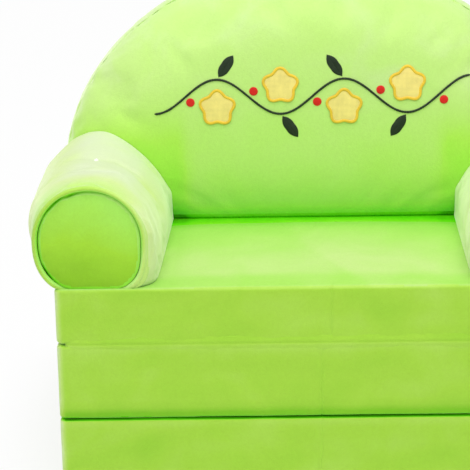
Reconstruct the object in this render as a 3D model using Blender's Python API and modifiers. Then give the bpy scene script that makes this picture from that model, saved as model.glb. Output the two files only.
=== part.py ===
# Child's flip open sofa: a seat layer with rolled arms and a half-round backrest stands on
# two more foam layers, which fold out forwards into a bed. All lengths are in metres.
# X runs across the sofa, -Y is its front, +Z is up, and the origin is under its middle.

import math

import bmesh
import bpy
from mathutils import Matrix, Vector
from mathutils.bvhtree import BVHTree

# The folding base: three foam layers on each other
BASE_WIDTH = 0.597
BASE_DEPTH = 0.460
BOTTOM_THICK = 0.089
MIDDLE_THICK = 0.090
SEAT_THICK = 0.0665
LAYER_GAP = 0.0006
EDGE_ROUND = 0.0085
FACE_DRAW = 0.0016
SEAT_CROWN = 0.0050
SEAT_OPEN_HALF = 0.180

# Sewn covers, their wadding, and the pieces inside them
COVER_WALL = 0.010
CLEAR = 0.0003
SPONGE_THICK = 0.016
BASE_CLOTH_THICK = 0.0012
BASE_CLOTH_MARGIN = 0.022

# The cloth hinges between the layers
LEAF_HEIGHT = 0.014
LEAF_THICK = 0.0008
LEAF_END_GAP = 0.014
PIVOT_PROUD = 0.00015

# The half-round backrest
BACK_HALF_WIDTH = 0.3255
BACK_RISE = 0.281
BACK_ARC_UP = 0.0425
BACK_MIDDLE_UP = 0.140
BACK_FOOT_UNDER = 0.034
BACK_RIM_Y = 0.153
BACK_FRONT_DEPTH = 0.081
BACK_REAR_DEPTH = 0.072
BACK_FRONT_POWER = 0.60
BACK_REAR_POWER = 0.40
BACK_CORNER_POWER = 8
GUSSET_WIDTH = 0.040
BOARD_THICK = 0.036
BACK_WALL = 0.012

# The rolled arms
ARM_SETBACK = 0.0015
ARM_FRONT_INSET = 0.0425
ARM_FRONT_UP = 0.0548
ARM_REAR_INSET = 0.0335
ARM_REAR_UP = 0.0294
ARM_RIM_RADIUS = 0.0654
ARM_SEAM_RADIUS = 0.059
ARM_RADIUS = 0.0865
ARM_SETTLE = 0.210
ARM_BULGE = 0.018
ARM_REAR_Y = 0.150
ARM_END_ROUND = 0.050
ARM_FRONT_FOOT_UNDER = 0.012
ARM_REAR_FOOT_UNDER = 0.004
ARM_FRONT_FOOT_POWER = 8
ARM_REAR_FOOT_POWER = 4
ARM_INNER_INSET = 0.118
ARM_INNER_UPPER_POWER = 1.5
ARM_INNER_LOWER_POWER = 10
ARM_INNER_SEAM_POWER = 3.2
ARM_OUTER_LOWER_POWER = 2.4
ARM_WALL = 0.007
ARM_CORE_RADIUS = 0.036
RIM_ROLL = 0.0045
PANEL_THICK = 0.009
PANEL_CROWN = 0.0035

# The zips, one in each layer and one in the backrest
LAYER_ZIP_LENGTH = 0.300
SEAT_ZIP_LENGTH = 0.400
BACK_ZIP_LENGTH = 0.360
BACK_ZIP_UP = 0.045
TAPE_HEIGHT = 0.0120
TAPE_THICK = 0.0010
TAPE_SET_BACK = 0.0030
CHAIN_HEIGHT = 0.0042
CHAIN_THICK = 0.0014
CHAIN_END = 0.006
SLIDER_LENGTH = 0.0110
SLIDER_PLATE = 0.0012
SLIDER_WALL = 0.0014
BRIDGE_WIDTH = 0.0018
BRIDGE_BAR = 0.0010
BRIDGE_POST = 0.0012
BRIDGE_RISE = 0.0024
BRIDGE_SPAN = 0.0044
PULL_BAR = 0.0012
PULL_WIDTH = 0.0066
PULL_LENGTH = 0.0250
PULL_HOLE_WIDTH = 0.0030
PULL_HOLE_LENGTH = 0.0042

# The sewn trim on the backrest: a stitched vine with blossoms, leaves and berries
VINE_HALF = 0.200
VINE_UP = 0.162
VINE_SWING = 0.022
VINE_WAVE = 0.160
VINE_THREAD = 0.0013
BLOSSOM_RADIUS = 0.0235
BLOSSOM_OFFSET = 0.036
BLOSSOM_RIM = 0.0013
LEAF_LONG = 0.034
LEAF_WIDE = 0.0130
LEAF_STAND = 0.0035
BERRY_RADIUS = 0.0055
BERRY_STAND = 0.0025
TRIM_THICK = 0.0014
TRIM_LIFT = 0.0005

# How finely the forms are divided
BLOCK_CUTS = 5
SEAT_CUTS = 6
EDGE_STEPS = 3
BACK_STEPS = 44
BACK_INNER_STEPS = 22
ARM_STEPS = 24
ARM_INNER_STEPS = 16
PANEL_STEPS = 24
BLOSSOM_STEPS = 30
LEAF_STEPS = 16
BERRY_STEPS = 10
VINE_POINTS = 52
RIM_STEPS = 4
END_STEPS = 4
TAB_STEPS = 6
BLOSSOMS = 4
PETALS = 5

# Shares, powers and turns that shape the trim and the panels
PETAL_SHARE = 0.10
LEAF_TILT = math.radians(35)
LEAF_POWER = 0.75
COIN_SHARE = 0.5
PANEL_POWER = 4
PANEL_RING_SHARES = (0.45, 0.75, 0.93, 1)

# Shares of a form's own reach at which its rings of points lie
FRONT_RING_SHARES = (0, 0.2, 0.4, 0.57, 0.72, 0.84, 0.93, 0.98)
REAR_RING_SHARES = (1, 0.97, 0.9, 0.75, 0.45, 0)
INNER_RING_SHARES = (0, 0.45, 0.75, 0.93, 1, 0.93, 0.75, 0.45, 0)
TAPER_SHARES = (0.04, 0.09, 0.2, 0.4, 0.63, 0.85, 1)

# Worked out from the sizes above
BOTTOM_TOP = BOTTOM_THICK
MIDDLE_FOOT = BOTTOM_TOP + LAYER_GAP
MIDDLE_TOP = MIDDLE_FOOT + MIDDLE_THICK
SEAT_FOOT = MIDDLE_TOP + LAYER_GAP
SEAT_TOP = SEAT_FOOT + SEAT_THICK
BACK_FLOOR = SEAT_TOP + CLEAR
BACK_MIDDLE = SEAT_TOP + BACK_MIDDLE_UP
BACK_ARC = SEAT_TOP + BACK_ARC_UP
BACK_FRONT_Y = BACK_RIM_Y - BACK_FRONT_DEPTH
ARM_FRONT_Y = -BASE_DEPTH / 2 + ARM_SETBACK
ARM_FRONT_X = BASE_WIDTH / 2 - ARM_FRONT_INSET
ARM_REAR_X = BASE_WIDTH / 2 - ARM_REAR_INSET
ARM_INNER_X = BASE_WIDTH / 2 - ARM_INNER_INSET
ARM_TAPER_Y = ARM_FRONT_Y + RIM_ROLL
ARM_TAPER = ARM_REAR_Y - ARM_END_ROUND - ARM_TAPER_Y
OVERRUN = BASE_WIDTH
WELD = CLEAR / 30
SNAP = 0.0001


def clear_scene():
    for thing in list(bpy.data.objects):
        bpy.data.objects.remove(thing, do_unlink=True)


def collection(name):
    made = bpy.data.collections.new(name)
    bpy.context.scene.collection.children.link(made)
    return made


def material(name, colour, roughness, metallic=0.0):
    made = bpy.data.materials.new(name)
    made.use_nodes = True
    shader = made.node_tree.nodes["Principled BSDF"]
    shader.inputs["Base Color"].default_value = (*colour, 1)
    shader.inputs["Roughness"].default_value = roughness
    shader.inputs["Metallic"].default_value = metallic
    made.diffuse_color = (*colour, 1)
    return made


def mesh_of(bm, name):
    """Turn a bmesh into a mesh whose faces all point outwards."""
    bm.normal_update()
    bmesh.ops.recalc_face_normals(bm, faces=bm.faces)
    mesh = bpy.data.meshes.new(name)
    bm.to_mesh(mesh)
    bm.free()
    return mesh


def part(name, mesh, finish, carrier=None, smooth=True):
    """Put a named piece in the sofa's collection, carried by an empty where it moves."""
    made = bpy.data.objects.new(name, mesh)
    PARTS.objects.link(made)
    mesh.materials.clear()
    mesh.materials.append(finish)
    if smooth:
        mesh.shade_smooth()
        mesh.set_sharp_from_angle(angle=math.radians(40))
    if carrier is not None:
        made.parent = carrier
        made.matrix_parent_inverse = carrier.matrix_world.inverted()
    return made


def pivot(name, place, carrier=None):
    """An empty on a joint's axis, which carries the pieces that move with it."""
    made = bpy.data.objects.new(name, None)
    made.empty_display_size = LEAF_HEIGHT
    PARTS.objects.link(made)
    made.matrix_world = Matrix.Translation(place)
    if carrier is not None:
        made.parent = carrier
        made.matrix_parent_inverse = carrier.matrix_world.inverted()
    bpy.context.view_layer.update()
    return made


def cutter(name, mesh):
    made = bpy.data.objects.new(name, mesh)
    CUTTERS.objects.link(made)
    made.hide_render = True
    made.display_type = "WIRE"
    return made


def combine(target, tool, how):
    step = target.modifiers.new(how.lower(), "BOOLEAN")
    step.operation = how
    step.solver = "EXACT"
    step.object = tool


def cut(target, tool):
    combine(target, tool, "DIFFERENCE")


def box_mesh(low, high):
    bm = bmesh.new()
    size = [b - a for a, b in zip(low, high)]
    middle = [(a + b) / 2 for a, b in zip(low, high)]
    place = Matrix.Translation(middle) @ Matrix.Diagonal((*size, 1))
    bmesh.ops.create_cube(bm, size=1, matrix=place)
    return mesh_of(bm, "box")


def grown(low, high, more):
    """A box's two corners, moved out by one length."""
    return [a - more for a in low], [b + more for b in high]


def turned_mesh(profile, steps):
    """Turn a profile of (radius, place along the axis) about Z and close it."""
    mesh = bpy.data.meshes.new("profile")
    points = [(radius, 0, along) for radius, along in profile]
    mesh.from_pydata(points, [(i, i + 1) for i in range(len(points) - 1)], [])
    turned = bpy.data.objects.new("turned", mesh)
    bpy.context.scene.collection.objects.link(turned)
    screw = turned.modifiers.new("screw", "SCREW")
    screw.steps = steps
    screw.render_steps = steps
    screw.use_merge_vertices = True
    screw.merge_threshold = WELD
    graph = bpy.context.evaluated_depsgraph_get()
    bm = bmesh.new()
    bm.from_mesh(bpy.data.meshes.new_from_object(turned.evaluated_get(graph)))
    bmesh.ops.remove_doubles(bm, verts=bm.verts, dist=WELD)
    bpy.data.objects.remove(turned)
    # One fixed diagonal in every face keeps forms that fit in each other apart
    bmesh.ops.triangulate(bm, faces=bm.faces, quad_method="FIXED")
    return mesh_of(bm, "turned")


def shaped(mesh, move):
    """Move every point of a mesh by a rule and keep the result closed."""
    bm = bmesh.new()
    bm.from_mesh(mesh)
    for point in bm.verts:
        point.co = move(point.co)
    return mesh_of(bm, mesh.name)


def crowned_block(low, high, cuts, crown=0.0):
    """A foam layer's outside: its four sides swell, and the open part of its top is crowned."""
    half = [(b - a) / 2 for a, b in zip(low, high)]
    middle = Vector([(a + b) / 2 for a, b in zip(low, high)])
    bm = bmesh.new()
    bmesh.ops.create_cube(bm, size=2)
    bmesh.ops.subdivide_edges(bm, edges=bm.edges, cuts=cuts, use_grid_fill=True)
    if crown:
        for place, facing in (
            ((SEAT_OPEN_HALF / half[0], 0, 0), (1, 0, 0)),
            ((-SEAT_OPEN_HALF / half[0], 0, 0), (1, 0, 0)),
            ((0, CREASE_Y / half[1], 0), (0, 1, 0)),
        ):
            everything = [*bm.verts, *bm.edges, *bm.faces]
            bmesh.ops.bisect_plane(bm, geom=everything, plane_co=place, plane_no=facing)
    for point in bm.verts:
        a, b, c = point.co
        across = half[0] * a
        along = half[1] * b
        rise = half[2] * c
        if abs(a) > 1 - SNAP:
            across -= math.copysign(FACE_DRAW, a) * (1 - (1 - b * b) * (1 - c * c))
        if abs(b) > 1 - SNAP:
            along -= math.copysign(FACE_DRAW, b) * (1 - (1 - a * a) * (1 - c * c))
        if c > 1 - SNAP:
            side = max(0, 1 - (half[0] * a / SEAT_OPEN_HALF) ** 2)
            front = max(0, 1 - ((half[1] * b - SEAT_OPEN_Y) / SEAT_OPEN_LONG) ** 2)
            rise += crown * side * front
        point.co = middle + Vector((across, along, rise))
    return mesh_of(bm, "layer")


def round_edges(target):
    bevel = target.modifiers.new("round", "BEVEL")
    bevel.width = EDGE_ROUND
    bevel.segments = EDGE_STEPS
    bevel.limit_method = "ANGLE"
    bevel.angle_limit = math.radians(50)


def base_cloth(name, cover, face, outward, carrier):
    """A grip cloth let into a layer's flat face, with its outside level with that face."""
    deep = BASE_CLOTH_THICK
    reach_x = BASE_WIDTH / 2 - BASE_CLOTH_MARGIN
    reach_y = BASE_DEPTH / 2 - BASE_CLOTH_MARGIN
    low = [-reach_x, -reach_y, min(face, face - outward * deep)]
    high = [reach_x, reach_y, max(face, face - outward * deep)]
    part(name, box_mesh(low, high), GRIP, carrier, smooth=False)
    seat_low, seat_high = grown(low, high, CLEAR)
    if outward < 0:
        seat_low[2] -= COVER_WALL
    else:
        seat_high[2] += COVER_WALL
    cut(cover, cutter(name + "_seat", box_mesh(seat_low, seat_high)))


def layer(name, foot, thick, cuts, crown, carrier):
    """One foam layer: the sewn cover and the space inside it."""
    low = (-BASE_WIDTH / 2, -BASE_DEPTH / 2, foot)
    high = (BASE_WIDTH / 2, BASE_DEPTH / 2, foot + thick)
    cover = part(name + "_cover", crowned_block(low, high, cuts, crown), PLUSH, carrier)
    round_edges(cover)
    room = grown(low, high, -COVER_WALL)
    cut(cover, cutter(name + "_room", box_mesh(*room)))
    return cover, grown(*room, -CLEAR)


def outline_mesh(outer, holes, thick):
    """A flat plate in the XY plane from outlines, as a filled curve made into a mesh."""
    curve = bpy.data.curves.new("plate", "CURVE")
    curve.dimensions = "2D"
    curve.fill_mode = "BOTH"
    curve.extrude = thick / 2
    for points in [outer, *holes]:
        line = curve.splines.new("POLY")
        line.points.add(len(points) - 1)
        line.use_cyclic_u = True
        for slot, (x, y) in zip(line.points, points):
            slot.co = (x, y, 0, 1)
    holder = bpy.data.objects.new("plate", curve)
    bpy.context.scene.collection.objects.link(holder)
    graph = bpy.context.evaluated_depsgraph_get()
    bm = bmesh.new()
    bm.from_mesh(bpy.data.meshes.new_from_object(holder.evaluated_get(graph)))
    bmesh.ops.remove_doubles(bm, verts=bm.verts, dist=WELD)
    bpy.data.objects.remove(holder)
    return mesh_of(bm, "plate")


def rectangle(low_x, high_x, low_y, high_y):
    return [(low_x, low_y), (high_x, low_y), (high_x, high_y), (low_x, high_y)]


def turned_plate(outer, holes, thick, columns):
    """A plate whose outline's X and Y and its thickness lie along the three given directions."""
    mesh = outline_mesh(outer, holes, thick)
    turn = Matrix(columns).transposed().to_4x4()
    bm = bmesh.new()
    bm.from_mesh(mesh)
    bm.transform(turn)
    return mesh_of(bm, "plate")


def zip_fastener(name, cover, place, turn, length, wall, carrier):
    """A zip in a slot of a cover: tape, slider and pull, the slider and pull on empties.

    In the zip's own frame X runs along it, Y points out of the cover and Z is up.
    """
    frame = Matrix.Translation(place) @ Matrix.Rotation(turn, 4, "Z")
    tape_face = -TAPE_SET_BACK
    chain_face = tape_face + CHAIN_THICK
    plate_low = chain_face + CLEAR
    plate_high = plate_low + SLIDER_PLATE
    chain_half = CHAIN_HEIGHT / 2
    tape_half = TAPE_HEIGHT / 2
    body_half = chain_half + CLEAR + SLIDER_WALL
    bar_y = plate_high + BRIDGE_RISE / 2
    closed_x = -length / 2 + CHAIN_END + SLIDER_LENGTH

    tape_outline = [
        (tape_face - TAPE_THICK, -tape_half),
        (tape_face, -tape_half),
        (tape_face, -chain_half),
        (chain_face, -chain_half),
        (chain_face, chain_half),
        (tape_face, chain_half),
        (tape_face, tape_half),
        (tape_face - TAPE_THICK, tape_half),
    ]
    across = ((0, 1, 0), (0, 0, 1), (1, 0, 0))
    tape = turned_plate(tape_outline, [], length, across)
    tape.transform(frame)
    part(name + "_zip_tape", tape, TAPE, carrier, smooth=False)

    slot_low = (-length / 2 - CLEAR, -wall - COVER_WALL / 2, -tape_half - CLEAR)
    slot_high = (length / 2 + CLEAR, COVER_WALL, tape_half + CLEAR)
    slot = box_mesh(slot_low, slot_high)
    slot.transform(frame)
    cut(cover, cutter(name + "_zip_slot", slot))

    flange_low = tape_face + CLEAR
    slider_outline = [
        (flange_low, -body_half),
        (plate_high, -body_half),
        (plate_high, body_half),
        (flange_low, body_half),
        (flange_low, chain_half + CLEAR),
        (plate_low, chain_half + CLEAR),
        (plate_low, -chain_half - CLEAR),
        (flange_low, -chain_half - CLEAR),
    ]
    slider_place = frame @ Vector((closed_x, bar_y, 0))
    slider_seat = pivot(name + "_slider_slide", slider_place, carrier)
    at_rest = frame @ Matrix.Translation((closed_x, 0, 0))
    slider_mesh = turned_plate(slider_outline, [], SLIDER_LENGTH, across)
    slider_mesh.transform(at_rest)
    slider = part(name + "_zip_slider", slider_mesh, NICKEL, slider_seat, smooth=False)
    span_half = BRIDGE_SPAN / 2
    bridge_top = plate_high + BRIDGE_RISE + BRIDGE_BAR
    bridge_outer = rectangle(
        plate_high - SLIDER_PLATE / 2, bridge_top, -span_half - BRIDGE_POST, span_half + BRIDGE_POST
    )
    bridge_window = rectangle(plate_high, plate_high + BRIDGE_RISE, -span_half, span_half)
    bridge = turned_plate(bridge_outer, [bridge_window], BRIDGE_WIDTH, across)
    bridge.transform(at_rest)
    combine(slider, cutter(name + "_bridge", bridge), "UNION")

    pull_seat = pivot(name + "_pull_hinge", slider_place, slider_seat)
    bar_half = PULL_BAR / 2
    hole_half = PULL_HOLE_WIDTH / 2
    tab = rounded_tab(PULL_WIDTH / 2, bar_half, PULL_LENGTH - bar_half)
    hole = rectangle(-hole_half, hole_half, -bar_half - PULL_HOLE_LENGTH, -bar_half)
    facing = ((1, 0, 0), (0, 0, 1), (0, -1, 0))
    pull = turned_plate(tab, [hole], PULL_BAR, facing)
    pull.transform(frame @ Matrix.Translation((closed_x, bar_y, 0)))
    part(name + "_zip_pull", pull, NICKEL, pull_seat, smooth=False)


def rounded_tab(half, top, drop):
    """A pull's outline: straight sides, a square top and a half-round lower end."""
    points = [(half, top), (-half, top)]
    for i in range(TAB_STEPS + 1):
        angle = math.pi + math.pi * i / TAB_STEPS
        points.append((half * math.cos(angle), half - drop + half * math.sin(angle)))
    return points


def back_reach(angle, inset, floor):
    """How far the backrest's outline lies from its middle: an oval above, a foot line below."""
    rise = math.sin(angle)
    lift = BACK_MIDDLE - BACK_ARC
    half_width = BACK_HALF_WIDTH - inset
    half_height = BACK_RISE - inset
    squared = (math.cos(angle) / half_width) ** 2 + (rise / half_height) ** 2
    along = lift * rise / half_height**2
    left = (lift / half_height) ** 2 - 1
    reach = (math.sqrt(along * along - squared * left) - along) / squared
    if rise > -SNAP:
        return reach
    foot = (BACK_MIDDLE - floor) / -rise
    power = BACK_CORNER_POWER
    return (reach**-power + foot**-power) ** (-1 / power)


def back_form(inset, floor, shares_front, shares_rear, steps):
    """The backrest's cushion form, drawn in by an inset all over."""
    profile = []
    for share in shares_front:
        swell = (1 - share ** (2 / BACK_FRONT_POWER)) ** (BACK_FRONT_POWER / 2)
        profile.append((share, BACK_RIM_Y - (BACK_FRONT_DEPTH - inset) * swell))
    for share in shares_rear:
        swell = (1 - share ** (2 / BACK_REAR_POWER)) ** (BACK_REAR_POWER / 2)
        profile.append((share, BACK_RIM_Y + (BACK_REAR_DEPTH - inset) * swell))

    def place(point):
        angle = math.atan2(point.y, point.x)
        reach = math.hypot(point.x, point.y) * back_reach(angle, inset, floor)
        return Vector((reach * math.cos(angle), point.z, BACK_MIDDLE + reach * math.sin(angle)))

    return shaped(turned_mesh(profile, steps), place)


def back_slice(name, mesh, low_y, high_y, finish):
    """One piece of the backrest: its form between two upright planes, above the seat."""
    made = part(name, mesh, finish)
    low = (-OVERRUN, low_y, BACK_FLOOR)
    high = (OVERRUN, high_y, BACK_FLOOR + 2 * OVERRUN)
    combine(made, cutter(name + "_slab", box_mesh(low, high)), "INTERSECT")
    return made


def eased(share):
    """A share from 0 to 1 that starts and ends gently."""
    share = min(1, max(0, share))
    return share * share * (3 - 2 * share)


def arm_form(side, stations, steps, floor=None):
    """An arm's form: rings along Y, pressed flat below and drawn out to a level line on the inner side.

    Each quarter of a ring is a superellipse: flatter above and fuller below on the inner side.
    With no floor given its foot runs just under the seat's top, for the seat to cut it flat.
    """

    def place(point):
        settle = eased((point.z - ARM_FRONT_Y) / ARM_SETTLE)
        middle_x = ARM_FRONT_X + (ARM_REAR_X - ARM_FRONT_X) * settle
        middle_z = SEAT_TOP + ARM_FRONT_UP + (ARM_REAR_UP - ARM_FRONT_UP) * settle
        reach = math.hypot(point.x, point.y)
        angle = math.atan2(point.y, point.x)
        across, rise = math.cos(angle), math.sin(angle)
        bulge = eased((point.z - ARM_TAPER_Y - PANEL_THICK) / ARM_BULGE)
        power, widen = 2, 1
        if across < 0:
            first, full = 2, ARM_INNER_UPPER_POWER
            if rise < 0:
                first, full = ARM_INNER_SEAM_POWER, ARM_INNER_LOWER_POWER
            power = first + (full - first) * bulge
            widen = 1 + ((middle_x - ARM_INNER_X) / arm_radius(point.z) - 1) * bulge
        elif rise < 0:
            power = ARM_OUTER_LOWER_POWER
        reach /= ((abs(across) / widen) ** power + abs(rise) ** power) ** (1 / power)
        if rise < -SNAP and reach > 0:
            under = ARM_FRONT_FOOT_UNDER + (ARM_REAR_FOOT_UNDER - ARM_FRONT_FOOT_UNDER) * settle
            line = SEAT_TOP - under if floor is None else floor
            power = ARM_FRONT_FOOT_POWER + (ARM_REAR_FOOT_POWER - ARM_FRONT_FOOT_POWER) * settle
            foot = (middle_z - line) / -rise
            reach = (reach**-power + foot**-power) ** (-1 / power)
        return Vector((side * (middle_x + reach * across), point.z, middle_z + reach * rise))

    return shaped(turned_mesh(stations, steps), place)


def arm_radius(along):
    """The arm's outer radius at a place along it: it grows from the rim's to the full one."""
    left = 1 - min(1, max(0, (along - ARM_TAPER_Y) / ARM_TAPER))
    return ARM_RIM_RADIUS + (ARM_RADIUS - ARM_RIM_RADIUS) * (1 - left * left)


def arm_stations():
    """Radius and place of the arm's rings: the rolled rim, the taper, and the rounded end."""
    rim_middle = (ARM_RIM_RADIUS + ARM_SEAM_RADIUS) / 2
    rim_half = (ARM_RIM_RADIUS - ARM_SEAM_RADIUS) / 2
    stations = [(0, ARM_TAPER_Y)]
    for i in range(RIM_STEPS + 1):
        angle = math.pi * i / RIM_STEPS
        radius = rim_middle - rim_half * math.cos(angle)
        stations.append((radius, ARM_TAPER_Y - RIM_ROLL * math.sin(angle)))
    for share in TAPER_SHARES:
        along = ARM_TAPER_Y + ARM_TAPER * share
        stations.append((arm_radius(along), along))
    for i in range(1, END_STEPS + 1):
        angle = math.pi / 2 * i / END_STEPS
        along = ARM_REAR_Y - ARM_END_ROUND + ARM_END_ROUND * math.sin(angle)
        stations.append((ARM_RADIUS * math.cos(angle), along))
    return stations


def inner_places(front, rear):
    """Where the rings of the forms inside an arm lie, so that they all bend alike."""
    between = [ARM_TAPER_Y + PANEL_THICK]
    between += [ARM_TAPER_Y + ARM_TAPER * share for share in TAPER_SHARES[1:]]
    return [front] + [place for place in between if front < place < rear] + [rear]


def arm_room(inset, front):
    """The stations of the space inside an arm's cover, drawn in by an inset."""
    rear = BACK_FRONT_Y - ARM_WALL - inset
    stations = [(0, front)]
    for place in inner_places(front, rear):
        stations.append((arm_radius(place) - ARM_WALL - inset, place))
    return stations + [(0, rear)]


def arm_core(more, front, rear):
    """The stations of the foam roll inside an arm, or of the hole around it."""
    stations = [(0, front)]
    stations += [(ARM_CORE_RADIUS + more, place) for place in inner_places(front, rear)]
    return stations + [(0, rear)]


def rolled_arm(name, side, back_tool):
    """One arm: the cover, the front panel inside its rolled rim, the wadding and the foam roll."""
    under = cutter(name + "_under", box_mesh((-OVERRUN, -OVERRUN, 0), (OVERRUN, OVERRUN, BACK_FLOOR)))
    outside = arm_form(side, arm_stations(), ARM_STEPS)
    cover = part(name + "_cover", outside, PLUSH)
    floor = SEAT_TOP + ARM_WALL
    cut(cover, under)
    cut(cover, back_tool)
    room = arm_form(side, arm_room(0, ARM_TAPER_Y), ARM_INNER_STEPS, floor)
    cut(cover, cutter(name + "_room", room))
    panel_rear = ARM_TAPER_Y + PANEL_THICK
    seat = [
        (0, ARM_FRONT_Y - RIM_ROLL),
        (ARM_SEAM_RADIUS, ARM_FRONT_Y - RIM_ROLL),
        (ARM_SEAM_RADIUS, panel_rear),
        (0, panel_rear),
    ]
    cut(cover, cutter(name + "_panel_seat", arm_form(side, seat, PANEL_STEPS)))

    edge = ARM_SEAM_RADIUS - CLEAR
    lip = ARM_TAPER_Y
    panel = [(0, lip - PANEL_CROWN)]
    for share in PANEL_RING_SHARES:
        swell = 1 - share**PANEL_POWER
        panel.append((edge * share, lip + CLEAR - PANEL_CROWN * swell))
    panel.append((edge, panel_rear - CLEAR))
    panel.append((0, panel_rear - CLEAR))
    disc = part(name + "_front_panel", arm_form(side, panel, PANEL_STEPS), PLUSH)
    cut(disc, under)

    sleeve_front = panel_rear
    inside = arm_room(CLEAR, sleeve_front)
    sleeve = arm_form(side, inside, ARM_INNER_STEPS, floor + CLEAR)
    wadding = part(name + "_wadding", sleeve, WADDING)
    core_rear = BACK_FRONT_Y - 2 * ARM_WALL
    core_floor = floor + ARM_WALL
    hole_places = arm_core(CLEAR, sleeve_front - ARM_WALL, core_rear + CLEAR)
    hole = arm_form(side, hole_places, ARM_INNER_STEPS, core_floor - CLEAR)
    cut(wadding, cutter(name + "_core_hole", hole))
    core = arm_form(side, arm_core(0, sleeve_front, core_rear), ARM_INNER_STEPS, core_floor)
    part(name + "_foam_roll", core, FOAM)


def hinge_leaves(name, face_y, joint_z, upper_carrier, lower_carrier):
    """The two cloth leaves of a hinge, one sewn to each layer beside the pivot line."""
    sign = math.copysign(1, face_y)
    reach = BASE_WIDTH / 2 - LEAF_END_GAP
    near = min(face_y, face_y + sign * LEAF_THICK)
    far = max(face_y, face_y + sign * LEAF_THICK)
    upper = ((-reach, near, joint_z + LAYER_GAP / 2), (reach, far, joint_z + LEAF_HEIGHT))
    lower = ((-reach, near, joint_z - LEAF_HEIGHT), (reach, far, joint_z - LAYER_GAP / 2))
    part(name + "_upper_leaf", box_mesh(*upper), PLUSH, upper_carrier, smooth=False)
    part(name + "_lower_leaf", box_mesh(*lower), PLUSH, lower_carrier, smooth=False)


def on_back(x, up, lift):
    """The point of the backrest's front at a place, lifted off it along its slope."""
    start = Vector((x, -OVERRUN, SEAT_TOP + up))
    hit, slope, _, _ = BACK_FACE.ray_cast(start, Vector((0, 1, 0)))
    return hit + slope * lift


def laid_on_back(mesh, x, up, tilt):
    """Lay a flat sewn shape, modelled round the Z axis, on the backrest's front."""

    def place(point):
        flat = Matrix.Rotation(tilt, 2) @ Vector((point.x, point.y))
        return on_back(x + flat.x, up + flat.y, TRIM_LIFT + point.z)

    return shaped(mesh, place)


def coin(reach, steps, dome=0.0):
    """A flat round cloth shape whose edge follows a rule of the angle."""
    profile = [(0, TRIM_THICK + dome), (COIN_SHARE, TRIM_THICK + dome * (1 - COIN_SHARE**2))]
    profile += [(1, TRIM_THICK), (1, 0), (COIN_SHARE, 0), (0, 0)]

    def place(point):
        angle = math.atan2(point.y, point.x)
        radius = math.hypot(point.x, point.y) * reach(angle)
        return Vector((radius * math.cos(angle), radius * math.sin(angle), point.z))

    return shaped(turned_mesh(profile, steps), place)


def petal_reach(angle):
    return BLOSSOM_RADIUS * (1 - PETAL_SHARE + PETAL_SHARE * math.cos(PETALS * angle))


def leaf_reach(angle):
    """A leaf's outline: long along X, with a point at each end."""
    bulge = abs(math.sin(angle)) ** LEAF_POWER
    return LEAF_LONG / 2 * (1 - bulge) + LEAF_WIDE / 2 * bulge


def thread_mesh(points, radius, closed):
    """A round stitched line through points, as a beveled curve made into a mesh."""
    curve = bpy.data.curves.new("thread", "CURVE")
    curve.dimensions = "3D"
    curve.bevel_depth = radius
    curve.bevel_resolution = 1
    curve.use_fill_caps = True
    line = curve.splines.new("POLY")
    line.points.add(len(points) - 1)
    line.use_cyclic_u = closed
    for slot, point in zip(line.points, points):
        slot.co = (*point, 1)
    holder = bpy.data.objects.new("thread", curve)
    bpy.context.scene.collection.objects.link(holder)
    graph = bpy.context.evaluated_depsgraph_get()
    bm = bmesh.new()
    bm.from_mesh(bpy.data.meshes.new_from_object(holder.evaluated_get(graph)))
    bmesh.ops.remove_doubles(bm, verts=bm.verts, dist=WELD)
    bpy.data.objects.remove(holder)
    return mesh_of(bm, "thread")


def vine_up(x):
    return VINE_UP + VINE_SWING * math.sin(2 * math.pi * x / VINE_WAVE)


def beside_vine(x, turn, away):
    """A place at a distance from the vine, in a direction."""
    return x + away * math.cos(turn), vine_up(x) + away * math.sin(turn)


def sewn_trim():
    """The trim on the backrest: a wavy stitched vine with blossoms inside its bends."""
    run = [-VINE_HALF + 2 * VINE_HALF * i / (VINE_POINTS - 1) for i in range(VINE_POINTS)]
    vine = [on_back(x, vine_up(x), TRIM_LIFT + VINE_THREAD) for x in run]
    part("vine_stitch", thread_mesh(vine, VINE_THREAD, False), THREAD)

    up_turn = math.pi / 2
    for number in range(BLOSSOMS):
        bend = VINE_WAVE * (number / 2 - (BLOSSOMS - 1) / 4)
        side = 1 if number % 2 else -1
        x, up = beside_vine(bend, side * up_turn, BLOSSOM_OFFSET)
        petals = coin(petal_reach, BLOSSOM_STEPS, TRIM_THICK)
        part(f"blossom_{number + 1}_petals", laid_on_back(petals, x, up, up_turn), YELLOW)
        rim = []
        lift = TRIM_LIFT + TRIM_THICK + CLEAR + BLOSSOM_RIM
        for i in range(BLOSSOM_STEPS):
            angle = 2 * math.pi * i / BLOSSOM_STEPS
            reach = petal_reach(angle) - BLOSSOM_RIM
            place = (x - reach * math.sin(angle), up + reach * math.cos(angle))
            rim.append(on_back(*place, lift))
        part(f"blossom_{number + 1}_rim", thread_mesh(rim, BLOSSOM_RIM, True), GOLD)

        turn = side * up_turn + math.pi + math.copysign(LEAF_TILT, -side * bend)
        leaf_x, leaf_up = beside_vine(bend, turn, LEAF_LONG / 2 + LEAF_STAND)
        leaf = laid_on_back(coin(leaf_reach, LEAF_STEPS), leaf_x, leaf_up, turn)
        part(f"vine_leaf_{number + 1}", leaf, THREAD)

    for number in range(BLOSSOMS + 1):
        crossing = VINE_WAVE * (number / 2 - BLOSSOMS / 4)
        slope = VINE_SWING * 2 * math.pi / VINE_WAVE * math.cos(2 * math.pi * crossing / VINE_WAVE)
        side = 1 if number % 2 else -1
        turn = math.atan(slope) + side * up_turn
        away = BERRY_RADIUS + VINE_THREAD + BERRY_STAND
        berry = coin(lambda angle: BERRY_RADIUS, BERRY_STEPS, TRIM_THICK)
        berry = laid_on_back(berry, *beside_vine(crossing, turn, away), 0)
        part(f"vine_berry_{number + 1}", berry, RED)


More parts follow.
